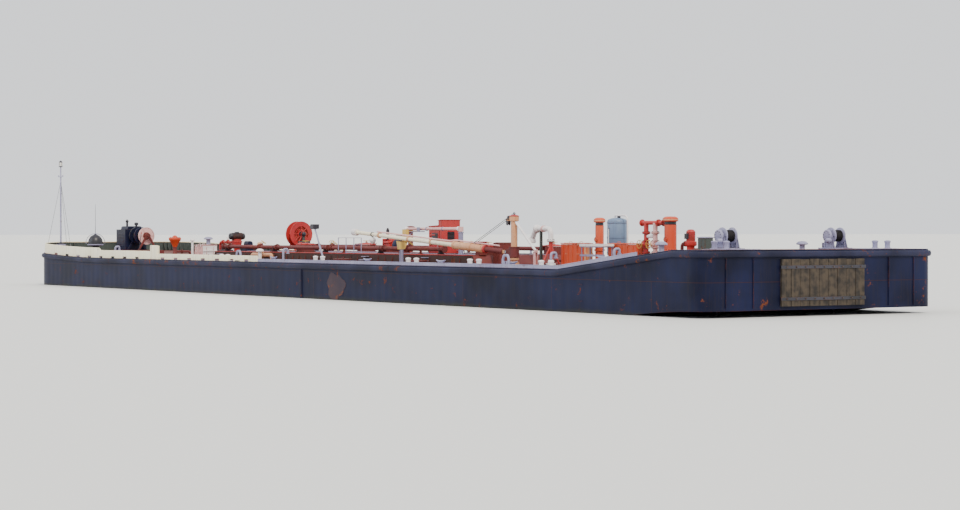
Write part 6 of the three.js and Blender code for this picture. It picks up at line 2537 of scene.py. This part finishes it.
@dataclass
class Stage:
    """The camera low over the water off the port quarter, a pale floor at the waterline, and soft light."""

    camera_at: tuple[float, float, float] = (44.02, -26.04, 2.3575)
    bearing: float = 33.05
    tilt: float = -0.6
    lens: float = 83.8
    floor_half: float = 900.0

    def camera(self) -> None:
        """Sets the camera where the photograph was taken from, on a longer lens."""
        data = bpy.data.cameras.new("camera")
        data.lens = self.lens
        data.sensor_width = 36.0
        data.clip_end = 3000.0
        camera = bpy.data.objects.new("camera", data)
        bearing, tilt = math.radians(self.bearing), math.radians(self.tilt)
        aim = Vector((
            -math.cos(bearing) * math.cos(tilt),
            math.sin(bearing) * math.cos(tilt),
            math.sin(tilt),
        ))
        camera.location = self.camera_at
        camera.rotation_mode = "QUATERNION"
        camera.rotation_quaternion = aim.to_track_quat("-Z", "Y")
        bpy.context.scene.collection.objects.link(camera)
        bpy.context.scene.camera = camera

    def floor(self) -> None:
        """Lays the floor at the waterline."""
        h, z = self.floor_half, WATERLINE * MM
        mesh = bpy.data.meshes.new("floor")
        mesh.from_pydata([(-h, -h, z), (h, -h, z), (h, h, z), (-h, h, z)], [], [(0, 1, 2, 3)])
        material = bpy.data.materials.new("pale_floor")
        material.use_nodes = True
        surface = material.node_tree.nodes["Principled BSDF"]
        surface.inputs["Base Color"].default_value = linear("e4e4e0")
        surface.inputs["Roughness"].default_value = 0.55
        mesh.materials.append(material)
        floor = bpy.data.objects.new("floor", mesh)
        bpy.context.scene.collection.objects.link(floor)

    def light(self) -> None:
        """Lights the scene with a pale sky and one broad soft sun."""
        world = bpy.data.worlds.new("pale_sky")
        bpy.context.scene.world = world
        world.use_nodes = True
        sky = world.node_tree.nodes["Background"]
        sky.inputs["Color"].default_value = linear("f4f6f9")
        sky.inputs["Strength"].default_value = 1.35
        for name, energy, turn, angle, tint in (
            ("sun", 2.6, (38.0, 14.0, 62.0), 12.0, "fff6e6"),
            ("fill", 0.8, (62.0, 0.0, -20.0), 40.0, "dfe6f2"),
        ):
            data = bpy.data.lights.new(name, "SUN")
            data.energy = energy
            data.angle = math.radians(angle)
            data.color = linear(tint)[:3]
            lamp = bpy.data.objects.new(name, data)
            lamp.rotation_euler = [math.radians(a) for a in turn]
            bpy.context.scene.collection.objects.link(lamp)


def main() -> None:
    """Builds the stage and every sub-assembly in order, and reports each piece."""
    logging.basicConfig(level=logging.INFO, format="%(name)s: %(message)s")
    stage = Stage()
    stage.camera()
    stage.floor()
    stage.light()
    assemblies = (
        Hull(), RubbingBand(), Bulwark(), MooringBitts(), DeckEdge(), PushPad(), Trunk(),
        *(TankHatch(i + 1, x, y) for i, (x, y) in enumerate(HATCHES)),
        CargoMain("cargo_main_port", y=-2480, start=-11300, stop=9100, valves=(-7500, -530, 6100)),
        CargoMain("cargo_main_starboard", y=2480, start=-11300, stop=11300, valves=(-9300, 3500)),
        Windlass(), BowGear(),
        LiddedBox("deck_locker", -18480, LOCKER_Z, length=1000, width=800, height=620, coat=Coat.PINK,
                  trim=Coat.WHITE, ribs=4),
        LiddedBox("casing_fore", 15110, DECK, length=1620, width=400, height=860, coat=Coat.ORANGE,
                  trim=Coat.TAN),
        LiddedBox("casing_aft", 18420, DECK, length=1800, width=420, height=860, coat=Coat.ORANGE,
                  trim=Coat.ORANGE),
        ForePump(), HoseReel(), MidPump(), PowerHouse(), Derrick(), Crutch(), ShortBoom(), Riser(), Catwalk(),
        VentPost("vent_post_fore", x=16650, radius=170),
        VentPost("vent_post_aft", x=21190, radius=235),
        DayTank(), Manifold(), SternGear(),
        QuarterWinch("winch_port", y=-2500),
        QuarterWinch("winch_starboard", y=2500),
        Sundries(),
    )
    for assembly in assemblies:
        assembly.build()
    BoltHeads.set_all()
    for piece in Yard.pieces:
        LOG.info("%s: %d faces", piece.name, len(piece.data.polygons))
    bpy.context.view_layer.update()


if __name__ == "__main__":
    main()
